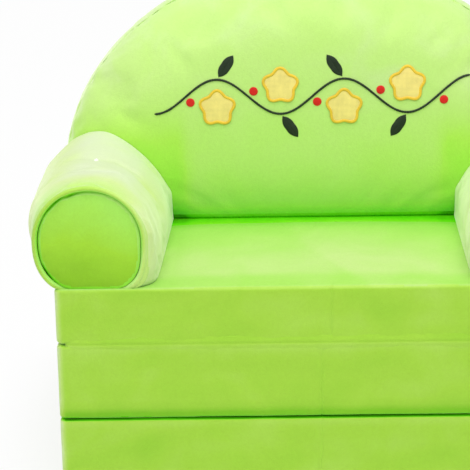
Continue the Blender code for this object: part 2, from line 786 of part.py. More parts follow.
def back_rest():
    """The backrest: three cover pieces round two pads and a foam board."""
    outside = back_form(0, SEAT_TOP - BACK_FOOT_UNDER, FRONT_RING_SHARES, REAR_RING_SHARES, BACK_STEPS)
    split = len(INNER_RING_SHARES) // 2
    front_shares = INNER_RING_SHARES[:split]
    rear_shares = INNER_RING_SHARES[split:]
    floor = SEAT_TOP + BACK_WALL
    room = back_form(BACK_WALL, floor, front_shares, rear_shares, BACK_INNER_STEPS)
    room_tool = cutter("backrest_room", room)
    seam_front = BACK_RIM_Y - GUSSET_WIDTH / 2
    seam_rear = BACK_RIM_Y + GUSSET_WIDTH / 2
    half_gap = CLEAR / 2
    pieces = (
        ("backrest_front_cover", -OVERRUN, seam_front - half_gap),
        ("backrest_gusset", seam_front + half_gap, seam_rear - half_gap),
        ("backrest_rear_cover", seam_rear + half_gap, OVERRUN),
    )
    covers = []
    for name, low, high in pieces:
        made = back_slice(name, outside.copy(), low, high, PLUSH)
        cut(made, room_tool)
        covers.append(made)

    inset = BACK_WALL + CLEAR
    inside = back_form(inset, floor + CLEAR, front_shares, rear_shares, BACK_INNER_STEPS)
    board_front = BACK_RIM_Y - BOARD_THICK / 2
    board_rear = BACK_RIM_Y + BOARD_THICK / 2
    back_slice("backrest_front_wadding", inside.copy(), -OVERRUN, board_front - half_gap, WADDING)
    board = (board_front + half_gap, board_rear - half_gap)
    back_slice("backrest_foam_board", inside.copy(), *board, FOAM)
    back_slice("backrest_rear_wadding", inside.copy(), board_rear + half_gap, OVERRUN, WADDING)
    return outside, covers


def crease_y():
    """Where the backrest's front meets the seat, on the middle line."""
    share = BACK_MIDDLE_UP / (BACK_MIDDLE_UP + BACK_FOOT_UNDER)
    swell = (1 - share ** (2 / BACK_FRONT_POWER)) ** (BACK_FRONT_POWER / 2)
    return BACK_RIM_Y - BACK_FRONT_DEPTH * swell


def rear_y(up):
    """The backrest's rear face at a height above the seat, on the middle line."""
    share = abs(BACK_MIDDLE_UP - up) / (BACK_MIDDLE_UP + BACK_FOOT_UNDER)
    swell = (1 - share ** (2 / BACK_REAR_POWER)) ** (BACK_REAR_POWER / 2)
    return BACK_RIM_Y + BACK_REAR_DEPTH * swell


def leaf_plane(thick):
    """How far out a layer's swollen face reaches under a hinge leaf."""
    edge = 1 - 2 * LEAF_HEIGHT / thick
    return BASE_DEPTH / 2 - FACE_DRAW * edge * edge


CREASE_Y = crease_y()
SEAT_OPEN_Y = (CREASE_Y - BASE_DEPTH / 2) / 2
SEAT_OPEN_LONG = (CREASE_Y + BASE_DEPTH / 2) / 2
FRONT_PLANE = max(leaf_plane(SEAT_THICK), leaf_plane(MIDDLE_THICK)) + CLEAR
REAR_PLANE = max(leaf_plane(MIDDLE_THICK), leaf_plane(BOTTOM_THICK)) + CLEAR
FRONT_PIVOT_Y = -max(FRONT_PLANE + LEAF_THICK, BASE_DEPTH / 2) - PIVOT_PROUD
REAR_PIVOT_Y = max(REAR_PLANE + LEAF_THICK, BASE_DEPTH / 2) + PIVOT_PROUD
FRONT_PIVOT_Z = MIDDLE_TOP + LAYER_GAP / 2
REAR_PIVOT_Z = BOTTOM_TOP + LAYER_GAP / 2

clear_scene()
PARTS = collection("flip_open_sofa")
CUTTERS = collection("cutters")

PLUSH = material("lime_plush", (0.42, 0.84, 0.10), 0.95)
FOAM = material("white_foam", (0.86, 0.84, 0.74), 0.9)
SPONGE = material("soft_sponge", (0.90, 0.86, 0.62), 0.95)
WADDING = material("fibre_wadding", (0.90, 0.90, 0.90), 1.0)
GRIP = material("dotted_grip_cloth", (0.20, 0.22, 0.20), 0.85)
TAPE = material("zip_tape", (0.30, 0.66, 0.08), 0.8)
NICKEL = material("nickel_zip_slider", (0.66, 0.66, 0.64), 0.3, 1.0)
THREAD = material("dark_embroidery_thread", (0.015, 0.035, 0.012), 0.6)
YELLOW = material("yellow_felt", (0.96, 0.80, 0.22), 0.9)
GOLD = material("gold_satin_stitch", (0.86, 0.58, 0.03), 0.6)
RED = material("red_satin_stitch", (0.75, 0.02, 0.02), 0.6)

middle_seat = pivot("middle_layer_hinge", (0, FRONT_PIVOT_Y, FRONT_PIVOT_Z))
bottom_seat = pivot("bottom_layer_hinge", (0, REAR_PIVOT_Y, REAR_PIVOT_Z), middle_seat)

seat_cover, seat_room = layer("seat", SEAT_FOOT, SEAT_THICK, SEAT_CUTS, SEAT_CROWN, None)
room_low, room_high = seat_room
foam_top = room_high[2] - SPONGE_THICK
part("seat_foam_slab", box_mesh(room_low, (*room_high[:2], foam_top - CLEAR)), FOAM, smooth=False)
part("seat_sponge", box_mesh((*room_low[:2], foam_top), room_high), SPONGE, smooth=False)
base_cloth("seat_base_cloth", seat_cover, SEAT_FOOT, -1, None)

middle_cover, middle_room = layer("middle", MIDDLE_FOOT, MIDDLE_THICK, BLOCK_CUTS, 0, middle_seat)
part("middle_foam_slab", box_mesh(*middle_room), FOAM, middle_seat, smooth=False)
base_cloth("middle_base_cloth", middle_cover, MIDDLE_TOP, 1, middle_seat)

bottom_cover, bottom_room = layer("bottom", 0, BOTTOM_THICK, BLOCK_CUTS, 0, bottom_seat)
part("bottom_foam_slab", box_mesh(*bottom_room), FOAM, bottom_seat, smooth=False)
base_cloth("bottom_base_cloth", bottom_cover, 0, -1, bottom_seat)

hinge_leaves("front_hinge", -FRONT_PLANE, FRONT_PIVOT_Z, None, middle_seat)
hinge_leaves("rear_hinge", REAR_PLANE, REAR_PIVOT_Z, middle_seat, bottom_seat)

back_outside, back_covers = back_rest()
back_bm = bmesh.new()
back_bm.from_mesh(back_outside)
BACK_FACE = BVHTree.FromBMesh(back_bm)
back_bm.free()
sewn_trim()

back_tool = cutter(
    "backrest_space",
    back_form(-CLEAR, SEAT_TOP - BACK_FOOT_UNDER, FRONT_RING_SHARES, REAR_RING_SHARES, BACK_STEPS),
)
rolled_arm("left_arm", -1, back_tool)
rolled_arm("right_arm", 1, back_tool)

seat_zip_place = (0, BASE_DEPTH / 2, SEAT_FOOT + SEAT_THICK / 2)
zip_fastener("seat", seat_cover, seat_zip_place, 0, SEAT_ZIP_LENGTH, COVER_WALL, None)
back_zip_place = (0, rear_y(BACK_ZIP_UP), SEAT_TOP + BACK_ZIP_UP)
zip_fastener("backrest", back_covers[2], back_zip_place, 0, BACK_ZIP_LENGTH, BACK_WALL, None)
quarter = -math.pi / 2
middle_zip_place = (BASE_WIDTH / 2, 0, MIDDLE_FOOT + MIDDLE_THICK / 2)
zip_fastener(
    "middle", middle_cover, middle_zip_place, quarter, LAYER_ZIP_LENGTH, COVER_WALL, middle_seat
)
bottom_zip_place = (BASE_WIDTH / 2, 0, BOTTOM_THICK / 2)
zip_fastener(
    "bottom", bottom_cover, bottom_zip_place, quarter, LAYER_ZIP_LENGTH, COVER_WALL, bottom_seat
)
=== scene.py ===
# The looks of a child's flip open sofa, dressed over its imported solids. Lengths are in metres.
import math

import bmesh
import bpy
import numpy as np
from mathutils import Matrix, Vector
from mathutils.bvhtree import BVHTree


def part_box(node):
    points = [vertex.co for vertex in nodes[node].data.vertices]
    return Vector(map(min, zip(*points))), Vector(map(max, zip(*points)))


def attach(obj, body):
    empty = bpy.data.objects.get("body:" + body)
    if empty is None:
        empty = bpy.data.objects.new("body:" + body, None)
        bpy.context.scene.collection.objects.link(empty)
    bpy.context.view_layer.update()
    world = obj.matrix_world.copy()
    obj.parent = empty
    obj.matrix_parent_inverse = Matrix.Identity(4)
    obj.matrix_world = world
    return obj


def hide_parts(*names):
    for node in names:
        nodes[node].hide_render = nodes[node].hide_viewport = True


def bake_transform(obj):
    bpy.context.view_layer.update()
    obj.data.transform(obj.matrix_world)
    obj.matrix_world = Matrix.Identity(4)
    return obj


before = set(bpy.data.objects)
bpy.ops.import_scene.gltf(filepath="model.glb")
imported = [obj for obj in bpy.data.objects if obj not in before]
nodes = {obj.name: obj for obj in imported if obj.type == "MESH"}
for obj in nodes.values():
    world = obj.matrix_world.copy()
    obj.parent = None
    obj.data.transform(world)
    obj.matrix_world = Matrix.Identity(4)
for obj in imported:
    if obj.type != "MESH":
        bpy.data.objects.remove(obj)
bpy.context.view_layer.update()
scene = bpy.context.scene
tau = 2 * math.pi


def boxOf(node):
    low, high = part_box(node)
    return np.array(low), np.array(high)


clearance = 0.0003  # between neighbouring solids
armLow = boxOf("right_arm_cover")[0]
seatLow, seatHigh = boxOf("seat_cover")
seatTop = armLow[2] - clearance
print("frame loaded: seat top at", round(seatTop, 4))


# small tools


def toLinear(code):
    # an sRGB hex code as the linear colour that a shader takes
    channels = [int(code[i : i + 2], 16) / 255 for i in (0, 2, 4)]
    curved = [c / 12.92 if c <= 0.04045 else ((c + 0.055) / 1.055) ** 2.4 for c in channels]
    return (*curved, 1.0)


def feedNode(tree, node, **inputs):
    # sets a node's inputs, by name or as _0, _1 by number, to values or to the sockets that feed them
    for field, value in inputs.items():
        socket = node.inputs[int(field[1:])] if field[0] == "_" else node.inputs[field.replace("_", " ")]
        if isinstance(value, bpy.types.NodeSocket):
            tree.links.new(value, socket)
        else:
            socket.default_value = value
    return node


def addNode(tree, kind, settings=None, **inputs):
    # one node: settings are its own fields, inputs go to feedNode
    node = tree.nodes.new(kind)
    for field, value in (settings or {}).items():
        setattr(node, field, value)
    return feedNode(tree, node, **inputs)


def smoothStep(start, end, x):
    # 0 before start, 1 after end, an S curve between them
    t = np.clip((x - start) / (end - start), 0, 1)
    return t * t * (3 - 2 * t)


def hump(x, width):
    # a bell of height 1 at x = 0
    return np.exp(-((x / width) ** 2))


def drift(points, size, seed, waves=14):
    # a smooth random field of about -1 to 1: many plane waves about one size long, added up
    rng = np.random.default_rng(seed)
    way = rng.normal(size=(waves, 3))
    way *= tau / (size * rng.uniform(0.7, 1.6, (waves, 1)) * np.linalg.norm(way, axis=1, keepdims=True))
    return np.sin(points @ way.T + rng.uniform(0, tau, waves)).sum(1) / math.sqrt(waves) * 0.8


def gridQuads(rows, cols, wrap=False):
    # corner numbers of the quads of a grid of points, row by row; wrap joins last column to first
    row = np.arange(rows - 1)[:, None] * cols
    col = np.arange(cols if wrap else cols - 1)[None, :]
    side = (col + 1) % cols
    quads = np.stack([row + col, row + side, row + cols + side, row + cols + col], -1)
    return quads.reshape(-1, 4)


def thinCloth(outer, inner, rows, cols):
    # a cloth of two grids of points, back to back and closed round their edges: its points and faces
    quads, count = gridQuads(rows, cols), rows * cols
    loop = np.concatenate([
        np.arange(cols), np.arange(1, rows) * cols + cols - 1,
        (rows - 1) * cols + np.arange(cols - 2, -1, -1), np.arange(rows - 2, 0, -1) * cols,
    ])
    rim = np.column_stack([loop, np.roll(loop, -1), np.roll(loop, -1) + count, loop + count])
    return np.concatenate([outer, inner]), np.concatenate([quads, quads[:, ::-1] + count, rim])


def joinParts(parts):
    # several pairs of points and faces as one pair
    starts = np.cumsum([0] + [len(points) for points, _ in parts[:-1]])
    faces = [faces + start for (_, faces), start in zip(parts, starts)]
    return np.concatenate([points for points, _ in parts]), np.concatenate(faces)


def blockSkin(lines):
    # the skin of a block as six grids on its grid lines, one per face, with doubled points merged
    parts = []
    for axis in range(3):
        u, v = lines[(axis + 1) % 3], lines[(axis + 2) % 3]
        for end in (0, -1):
            grid = np.empty((len(u), len(v), 3))
            grid[..., axis] = lines[axis][end]
            grid[..., (axis + 1) % 3] = u[:, None]
            grid[..., (axis + 2) % 3] = v[None, :]
            parts.append((grid.reshape(-1, 3), gridQuads(len(u), len(v))))
    spots, quads = joinParts(parts)
    _, first, number = np.unique(np.round(spots, 7), axis=0, return_index=True, return_inverse=True)
    return spots[first], number.reshape(-1)[quads]


def makeMesh(name, points, faces):
    # a mesh whose faces point outwards, from an array of points and one or more arrays of faces
    mesh = bpy.data.meshes.new(name)
    groups = faces if isinstance(faces, list) else [faces]
    mesh.from_pydata(np.asarray(points).tolist(), [], [face for group in groups for face in group.tolist()])
    form = bmesh.new()
    form.from_mesh(mesh)
    form.normal_update()
    bmesh.ops.recalc_face_normals(form, faces=form.faces)
    form.to_mesh(mesh)
    form.free()
    mesh.shade_smooth()
    return mesh


def makePiece(name, points, faces, finish, body, replaced=(), slot=None):
    # one visible piece: its mesh and finish, the body it rides and the solids it stands for; slot is not
    # used
    piece = bpy.data.objects.new(name, makeMesh(name, points, faces))
    scene.collection.objects.link(piece)
    piece.data.materials.append(finish)
    if body:
        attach(piece, body)
    if replaced:
        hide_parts(*replaced)
    return piece


def readAll(items, field):
    # one field of all points or faces, a row of three numbers each
    flat = np.empty(len(items) * 3)
    items.foreach_get(field, flat)
    return flat.reshape(-1, 3)


def pointsOf(piece):
    return readAll(piece.data.vertices, "co")


def normalsOf(piece):
    return readAll(piece.data.vertices, "normal")


def setPoints(piece, points):
    piece.data.vertices.foreach_set("co", np.asarray(points, dtype=np.float64).reshape(-1))
    piece.data.update()


def smoothOnce(piece, levels=1):
    surface = piece.modifiers.new("smoothed", "SUBSURF")
    surface.levels = levels
    surface.render_levels = levels
    return surface


def addWall(piece, thickness):
    # gives an open skin a wall on its inner side, which closes it
    wall = piece.modifiers.new("wall", "SOLIDIFY")
    wall.thickness = thickness
    wall.offset = -1
    return wall


def setNapAndLight(piece, values):
    # how the brushed pile lies at each point, with painted light and shade in it: 0 down in a seam and
    # painted seam shade, 0.2 raised, 0.5 as it falls, 0.8 laid flat, 1 laid flat with a painted silvery
    # highlight
    layer = piece.data.attributes.new("napAndLight", "FLOAT", "POINT")
    layer.data.foreach_set("value", np.clip(values, 0, 1).astype(np.float32))


def splitFinish(piece, *choices):
    # further finishes, each on the faces that its own test picks; a later one covers an earlier one
    number = np.zeros(len(piece.data.polygons), dtype=np.int32)
    for finish, picked in choices:
        if picked.any():
            piece.data.materials.append(finish)
            number[picked] = len(piece.data.materials) - 1
    piece.data.polygons.foreach_set("material_index", number)


def facesOf(piece):
    # the middle and the outward way of each face
    return readAll(piece.data.polygons, "center"), readAll(piece.data.polygons, "normal")


blowing = {
    "furthest": 0.006,  # how far a point may move
    "frames": 20,
    "cloth": {
        "quality": 5, "mass": 0.15, "tension_stiffness": 25, "compression_stiffness": 25,
        "shear_stiffness": 8, "bending_stiffness": 0.6, "shrink_min": -0.012, "use_pressure": True,
        "uniform_pressure_force": 4,
    },
}


def inflate(piece, held):
    # the cover as cloth, a little too large, blown out against its seams, where held is 1
    start = pointsOf(piece)
    group = piece.vertex_groups.new(name="held")
    for number, weight in enumerate(held):
        if weight > 0:
            group.add([number], float(weight), "REPLACE")
    cloth = piece.modifiers.new("cloth", "CLOTH")
    cloth.settings.vertex_group_mass = "held"
    for field, value in blowing["cloth"].items():
        setattr(cloth.settings, field, value)
    cloth.settings.effector_weights.gravity = 0
    cloth.collision_settings.use_collision = False
    cloth.point_cache.frame_start = 1
    cloth.point_cache.frame_end = blowing["frames"]
    for number in range(1, blowing["frames"] + 1):
        scene.frame_set(number)
    graph = bpy.context.evaluated_depsgraph_get()
    moved = readAll(piece.evaluated_get(graph).to_mesh().vertices, "co") - start
    length = np.linalg.norm(moved, axis=1, keepdims=True)
    moved *= blowing["furthest"] * np.tanh(length / blowing["furthest"]) / np.maximum(length, 1e-9)
    piece.modifiers.remove(cloth)
    piece.vertex_groups.remove(group)
    scene.frame_set(1)
    setPoints(piece, start + moved)
    print("  cloth on", piece.name, "moved up to", round(float(length.max()) * 1000, 1), "mm")


# finishes

plush = {
    # crystal plush: polyester yarn knitted, brushed and sheared to a 2 mm pile. It looks soft and
    # matt, paler where the pile lies towards the light and deeper where it stands up. Here those places
    # are painted by the nap attribute, which also holds painted light and shade.
    "pile": 0.0016,  # tufts of pile, drawn coarser than the real fibres so that they show
    "pileShade": 0.022,
    "tuft": 0.0050,
    "tuftShade": 0.014,
    "stroke": 0.060,  # the patches that hands leave in the pile
    "strokeShade": 0.18,
    "sheen": 1.0,
    "sheenRoughness": 0.5,
    "sheenTint": "f6ffe0",
    "specular": 0.15,
    "bump": 0.0006,
}
# each panel has its own tones, by nap: partly from the way its pile runs and partly painted light,
# set lighter or darker for the light that falls on the upright panels, the seat, the arms and the backrest
frontTones = {0: "62ca12", 0.2: "7cc020", 0.5: "a1d140", 0.8: "bcdf70", 1: "d0e4ae"}
seatTones = {0: "58c40c", 0.2: "7ccc20", 0.5: "a0d656", 0.8: "c2da8a", 1: "d2deba"}
armTones = {0: "6ee414", 0.2: "88d828", 0.5: "a8dc58", 0.8: "c8e086", 1: "d2deba"}
backTones = {0: "62d40c", 0.2: "84e020", 0.5: "b0e654", 0.8: "c0e582", 1: "d2deba"}
discTones = {0: "46b80a", 0.2: "7cb612", 0.5: "9fd634", 0.8: "a4e76a", 1: "b8f08c"}
seamShadeTones = {0: "46a00e", 0.1: "5ccc12", 0.2: "78d420", 0.3: "90dc40", 1: "c8e890"}


def newMaterial(name):
    made = bpy.data.materials.new(name)
    made.use_nodes = True
    shader = made.node_tree.nodes["Principled BSDF"]
    return made, made.node_tree, shader


def makePlush(name, spec, tones):
    # the colour follows the nap attribute, the pile's lie with painted light and shade in it, which hands
    # have stroked a little up and down; the pile's tufts shade it and lift it
    made, tree, shader = newMaterial(name)
    place = addNode(tree, "ShaderNodeTexCoord").outputs["Object"]
    napAndLight = addNode(tree, "ShaderNodeAttribute", {"attribute_name": "napAndLight"}).outputs["Fac"]
    stroke = addNode(
        tree, "ShaderNodeTexNoise", Vector=place, Scale=1 / spec["stroke"], Detail=3.0, Distortion=0.8,
    )
    tuft = addNode(tree, "ShaderNodeTexNoise", Vector=place, Scale=1 / spec["tuft"], Detail=2.0)
    pile = addNode(tree, "ShaderNodeTexNoise", Vector=place, Scale=1 / spec["pile"], Detail=1.0)
    stroked = addNode(
        tree, "ShaderNodeMath", {"operation": "MULTIPLY_ADD"}, _0=stroke.outputs[0], _1=spec["strokeShade"],
        _2=napAndLight,
    )
    share = addNode(
        tree, "ShaderNodeMath", {"operation": "SUBTRACT"}, _0=stroked.outputs[0], _1=spec["strokeShade"] / 2,
    )
    tone = addNode(tree, "ShaderNodeValToRGB", Fac=share.outputs[0])
    stops = tone.color_ramp.elements
    for level in list(tones)[1:-1]:
        stops.new(level)
    for stop, code in zip(stops, tones.values()):
        stop.color = toLinear(code)
    specks = []
    for noise, key in ((pile, "pileShade"), (tuft, "tuftShade")):
        shade = addNode(
            tree, "ShaderNodeMapRange", Value=noise.outputs[0], From_Min=0.3, From_Max=0.7,
            To_Min=1 - spec[key], To_Max=1 + spec[key],
        )
        specks.append(shade.outputs[0])
    grain = addNode(tree, "ShaderNodeMath", {"operation": "MULTIPLY"}, _0=specks[0], _1=specks[1])
    colour = addNode(
        tree, "ShaderNodeVectorMath", {"operation": "SCALE"}, Vector=tone.outputs[0], Scale=grain.outputs[0],
    )
    height = addNode(
        tree, "ShaderNodeMath", {"operation": "MULTIPLY_ADD"}, _0=tuft.outputs[0], _1=1.6,
        _2=pile.outputs[0],
    )
    bump = addNode(tree, "ShaderNodeBump", Strength=0.35, Distance=spec["bump"], Height=height.outputs[0])
    feedNode(
        tree, shader, Base_Color=colour.outputs[0], Normal=bump.outputs[0], Roughness=0.95,
        Specular_IOR_Level=spec["specular"], Sheen_Weight=spec["sheen"],
        Sheen_Roughness=spec["sheenRoughness"], Sheen_Tint=toLinear(spec["sheenTint"]),
    )
    return made


# one plush in several copies, whose tones differ partly as painted light and shade for each panel
plushFront = makePlush("crystal_plush_upright", {**plush, "sheen": 0.5}, frontTones)
plushSeat = makePlush("crystal_plush_seat", {**plush, "sheen": 0.25}, seatTones)
plushArm = makePlush("crystal_plush_arms", {**plush, "sheen": 0.7}, armTones)
plushBack = makePlush("crystal_plush_backrest", plush, backTones)
plushDisc = makePlush("crystal_plush_discs", {**plush, "sheen": 0.5}, discTones)
# painted shade for seams, the crease and the gap between layers: deep tones and no sheen, where the
# pile also stands edge on
plushSeamShade = makePlush("crystal_plush_painted_seam_shade", {**plush, "sheen": 0.0, "specular": 0.0}, seamShadeTones)


def shadedColour(tree, code, pattern, most, low, high):
    # a colour times a shade that runs from low to high as the pattern runs from 0.3 to most
    shade = addNode(
        tree, "ShaderNodeMapRange", Value=pattern, From_Min=0.3, From_Max=most, To_Min=low, To_Max=high,
    )
    return addNode(
        tree, "ShaderNodeVectorMath", {"operation": "SCALE"}, Vector=toLinear(code)[:3],
        Scale=shade.outputs[0],
    ).outputs[0]


mottleSize = 0.012  # uneven dyeing of woven cloth


def makeCloth(name, code, thread, rough, depth, sheen=0.0):
    # woven or stitched cloth: two crossed wave patterns, one thread apart, lift and tint it
    made, tree, shader = newMaterial(name)
    place = addNode(tree, "ShaderNodeTexCoord").outputs["Object"]
    weave = []
    for axis in ("X", "Z"):
        wave = addNode(
            tree, "ShaderNodeTexWave", {"bands_direction": axis}, Vector=place, Scale=1 / thread / tau * 2,
            Distortion=1.2, Detail=2.0,
        )
        weave.append(wave.outputs["Fac"])
    both = addNode(tree, "ShaderNodeMath", {"operation": "MULTIPLY"}, _0=weave[0], _1=weave[1])
    mottle = addNode(tree, "ShaderNodeTexNoise", Vector=place, Scale=1 / mottleSize, Detail=3.0)
    mixed = addNode(tree, "ShaderNodeMath", {"operation": "ADD"}, _0=both.outputs[0], _1=mottle.outputs[0])
    bump = addNode(tree, "ShaderNodeBump", Strength=0.5, Distance=depth, Height=both.outputs[0])
    feedNode(
        tree, shader, Base_Color=shadedColour(tree, code, mixed.outputs[0], 1.3, 0.78, 1.12),
        Normal=bump.outputs[0], Roughness=rough, Specular_IOR_Level=0.3, Sheen_Weight=sheen,
    )
    return made


# the half-round backrest: front panel, gusset and rear panel

gussetLow, gussetHigh = boxOf("backrest_gusset")
back = {
    "archUp": 0.0425,  # the oval's middle above the seat
    "middleUp": 0.140,  # the cushion's fullest place above the seat
    "footUnder": 0.034,
    "frontPower": 0.60,
    "rearPower": 0.40,
    "cornerPower": 8,
    "cell": 0.0075,
    "panels": (("front", "backrest_front_cover"), ("gusset", "backrest_gusset"),
               ("rear", "backrest_rear_cover")),
    "smaller": 0.0020,  # the cloth starts this much inside its full form
    "seamDepth": 0.0032,
    "seamWidth": 0.0028,
    "wall": 0.0016,
    "creaseShadeUp": 0.006,  # how far up the painted crease shade runs
    "seamRows": [0, 0.0012, 0.0026, 0.0046, 0.0080, 0.0130],  # closer grid lines beside the sewn edges
    "footHeld": 0.002,  # the foot is held down to here and let go at footFree
    "footFree": 0.012,
    "seamHeld": 0.004,
    "gather": 0.0006,  # small gathers beside the seam: height, size, place and spread
    "gatherSize": 0.018,
    "gatherIn": 0.010,
    "gatherWide": 0.012,
    "dartDepth": 0.0014,
    "dartWidth": 0.0024,
    "dartTop": (0.156, 0.512),  # x and z of the ends of a short sewn dart near the top
    "dartLow": (0.137, 0.487),
    "napAndLightUp": [0.003, 0.010, 0.016, 0.026, 0.055, 0.10, 0.18],  # nap and painted light by height above the seat
    "napAndLightShares": [0.16, 0.34, 0.50, 0.62, 0.65, 0.68, 0.8],
}
onFace = 0.9999  # share of a block's half size past which a point lies on that face
rimY = (gussetLow[1] + gussetHigh[1]) / 2
gussetHalf = (gussetHigh[1] - gussetLow[1]) / 2
halfWidth = gussetHigh[0]
archZ = seatTop + back["archUp"]
rise = gussetHigh[2] - archZ
middleZ = seatTop + back["middleUp"]
frontDepth = rimY - boxOf("backrest_front_cover")[0][1]
rearDepth = boxOf("backrest_rear_cover")[1][1] - rimY


def backShare(x, z):
    # how far out a point lies between the cushion's middle (0) and its outline (1): an oval above,
    # a level foot line below the seat, joined by rounded corners
    reach = np.hypot(x, z - middleZ)
    angle = np.arctan2(z - middleZ, x)
    up, lift = np.sin(angle), middleZ - archZ
    squared = (np.cos(angle) / halfWidth) ** 2 + (up / rise) ** 2
    along = lift * up / rise**2
    outline = (np.sqrt(along**2 - squared * ((lift / rise) ** 2 - 1)) - along) / squared
    foot = (back["middleUp"] + back["footUnder"]) / np.maximum(-up, 1e-6)
    power = back["cornerPower"]
    rounded = (outline**-power + np.minimum(foot, 1e3) ** -power) ** (-1 / power)
    outline = np.where(up < -1e-4, rounded, outline)
    return reach / outline


def backFace(x, z, depth, power):
    # how far the cushion stands in front of (or behind) its rim: a superellipse of the share
    share = np.clip(backShare(x, z), 0, 1)
    return depth * (1 - share ** (2 / power)) ** (power / 2)


rimShare = (1 - (gussetHalf / frontDepth) ** (2 / back["frontPower"])) ** (back["frontPower"] / 2)
# where the backrest's face meets the seat
creaseY = rimY - float(backFace(np.zeros(1), np.full(1, seatTop), frontDepth, back["frontPower"])[0])
print("crease at y", round(creaseY, 4))


def spacedLines(curve, cell, ends):
    # parameters at even arc lengths along a fine curve (parameter, a, b), closer by the given ends
    t, a, b = curve
    run = np.concatenate([[0], np.cumsum(np.hypot(np.diff(a), np.diff(b)))])
    stops = np.linspace(0, run[-1] - ends[-1], max(2, math.ceil((run[-1] - ends[-1]) / cell)) + 1)
    return np.interp(np.concatenate([stops, run[-1] - np.array(ends[-2::-1])]), run, t)


def mapBack(skin):
    # a block's skin onto the cushion: its sides a and c run over the face and b through it; the upper
    # half of the square goes to the half oval as x = a sqrt(1 - c^2/2), z = c sqrt(1 - a^2/2)
    a, b, c = skin.T
    up, down = np.clip(c, 0, 1), np.clip(-c, 0, 1)
    z = archZ + rise * up * np.sqrt(1 - a**2 / 2) - (archZ - seatTop - clearance) * down
    width = halfWidth * np.sqrt(1 - (np.minimum(z - archZ, 0) / rise) ** 2)
    x = width * a * np.sqrt(1 - up**2 / 2)
    x, z = x * rimShare, middleZ + (z - middleZ) * np.where(c > 0, rimShare, 1)
    least = gussetHalf * 0.999
    yFront = rimY - np.maximum(backFace(x, z, frontDepth, back["frontPower"]), least)
    yRear = rimY + np.maximum(backFace(x, z, rearDepth, back["rearPower"]), least)
    y = yFront + (yRear - yFront) * (b + 1) / 2
    return np.column_stack([x, y, z])


def dressBack():
    # the whole cushion is blown out as one cloth, drawn in along its seams and then cut into its panels
    ends = back["seamRows"]
    t = np.linspace(0, 1, 3000)
    alongX = mapBack(np.column_stack([t, -np.ones_like(t), np.full_like(t, (middleZ - archZ) / rise)]))
    linesX = spacedLines((t, alongX[:, 0], alongX[:, 1]), back["cell"], ends)
    alongZ = mapBack(np.column_stack([0 * t, -np.ones_like(t), t]))
    linesZ = spacedLines((t, alongZ[:, 2], alongZ[:, 1]), back["cell"], ends)
    downZ = np.linspace(-1, 0, 9)[:-1]
    edgeY = 1 - np.array(ends[:5]) / gussetHalf
    lines = [
        np.concatenate([-linesX[:0:-1], linesX]),
        np.unique(np.concatenate([-edgeY, edgeY, [-0.3, 0, 0.3]])),
        np.concatenate([downZ, linesZ]),
    ]
    skin, quads = blockSkin(lines)
    points = mapBack(skin)
    # which panel each face belongs to, by its number in the list; the base goes with the gusset
    through = skin[quads].mean(1)[:, 1]
    panel = np.where(through < -onFace, 0, np.where(through > onFace, 2, 1))
    whole = makePiece("backrest_whole", points, quads, plushBack, None)
    normals = normalsOf(whole)
    seam = np.minimum(np.abs(points[:, 1] - gussetLow[1]), np.abs(points[:, 1] - gussetHigh[1]))
    onRim = (np.abs(skin[:, 0]) > onFace) | (skin[:, 2] > onFace) | (np.abs(skin[:, 1]) < onFace)
    foot = smoothStep(seatTop + back["footFree"], seatTop + back["footHeld"], points[:, 2])
    setPoints(whole, points - normals * back["smaller"] * (1 - foot)[:, None])
    held = np.clip(np.maximum(hump(seam, back["seamHeld"]) * onRim, foot), 0, 1)
    inflate(whole, held)
    points = pointsOf(whole)
    normals = normalsOf(whole)
    # seam valleys: both panels turn in along their shared edge, with small gathers beside it
    rimDistance = np.where(np.abs(skin[:, 1]) > onFace, edgeDistance(points, skin), seam)
    gather = drift(points, back["gatherSize"], 41, 24)
    gather = gather * hump(rimDistance - back["gatherIn"], back["gatherWide"])
    valley = back["seamDepth"] * hump(rimDistance, back["seamWidth"]) + back["gather"] * gather
    points = points - normals * (valley * (1 - foot))[:, None]
    # a dart on each side of the front panel
    for side in (-1, 1):
        dart = hump(dartDistance(points, side), back["dartWidth"]) * (skin[:, 1] < -onFace)
        points = points - normals * (back["dartDepth"] * dart)[:, None]
    bpy.data.objects.remove(whole)
    made = []
    for number, (place, node) in enumerate(back["panels"]):
        used, faces = np.unique(quads[panel == number], return_inverse=True)
        name, faces = "backrest_" + place + "_plush", faces.reshape(-1, 4)
        piece = makePiece(name, points[used], faces, plushBack, "sofa_body", [node], "lime_plush")
        # faces just above the seat take the sheenless seam finish: painted crease shade
        splitFinish(piece, (plushSeamShade, facesOf(piece)[0][:, 2] < seatTop + back["creaseShadeUp"]))
        setNapAndLight(piece, napAndLightBack(pointsOf(piece)))
        smoothOnce(piece)
        addWall(piece, back["wall"])
        made.append(piece)
    return made


def edgeDistance(points, skin):
    # how far a point on the front or rear panel lies from the panel's sewn edge, roughly
    share = backShare(points[:, 0], points[:, 2])
    reach = np.hypot(points[:, 0], points[:, 2] - middleZ)
    through = points[:, 1] - np.where(skin[:, 1] < 0, gussetLow[1], gussetHigh[1])
    return np.abs(rimShare - share) * reach / np.maximum(share, 1e-6) + np.abs(through)


def dartDistance(points, side):
    # distance to the sewn dart on one side of the front panel, in the plane of x and z
    start = np.array(back["dartTop"]) * [side, 1]
    way = np.array(back["dartLow"]) * [side, 1] - start
    flat = points[:, [0, 2]] - start
    share = np.clip((flat @ way) / (way @ way), 0, 1)
    return np.linalg.norm(flat - share[:, None] * way, axis=1)


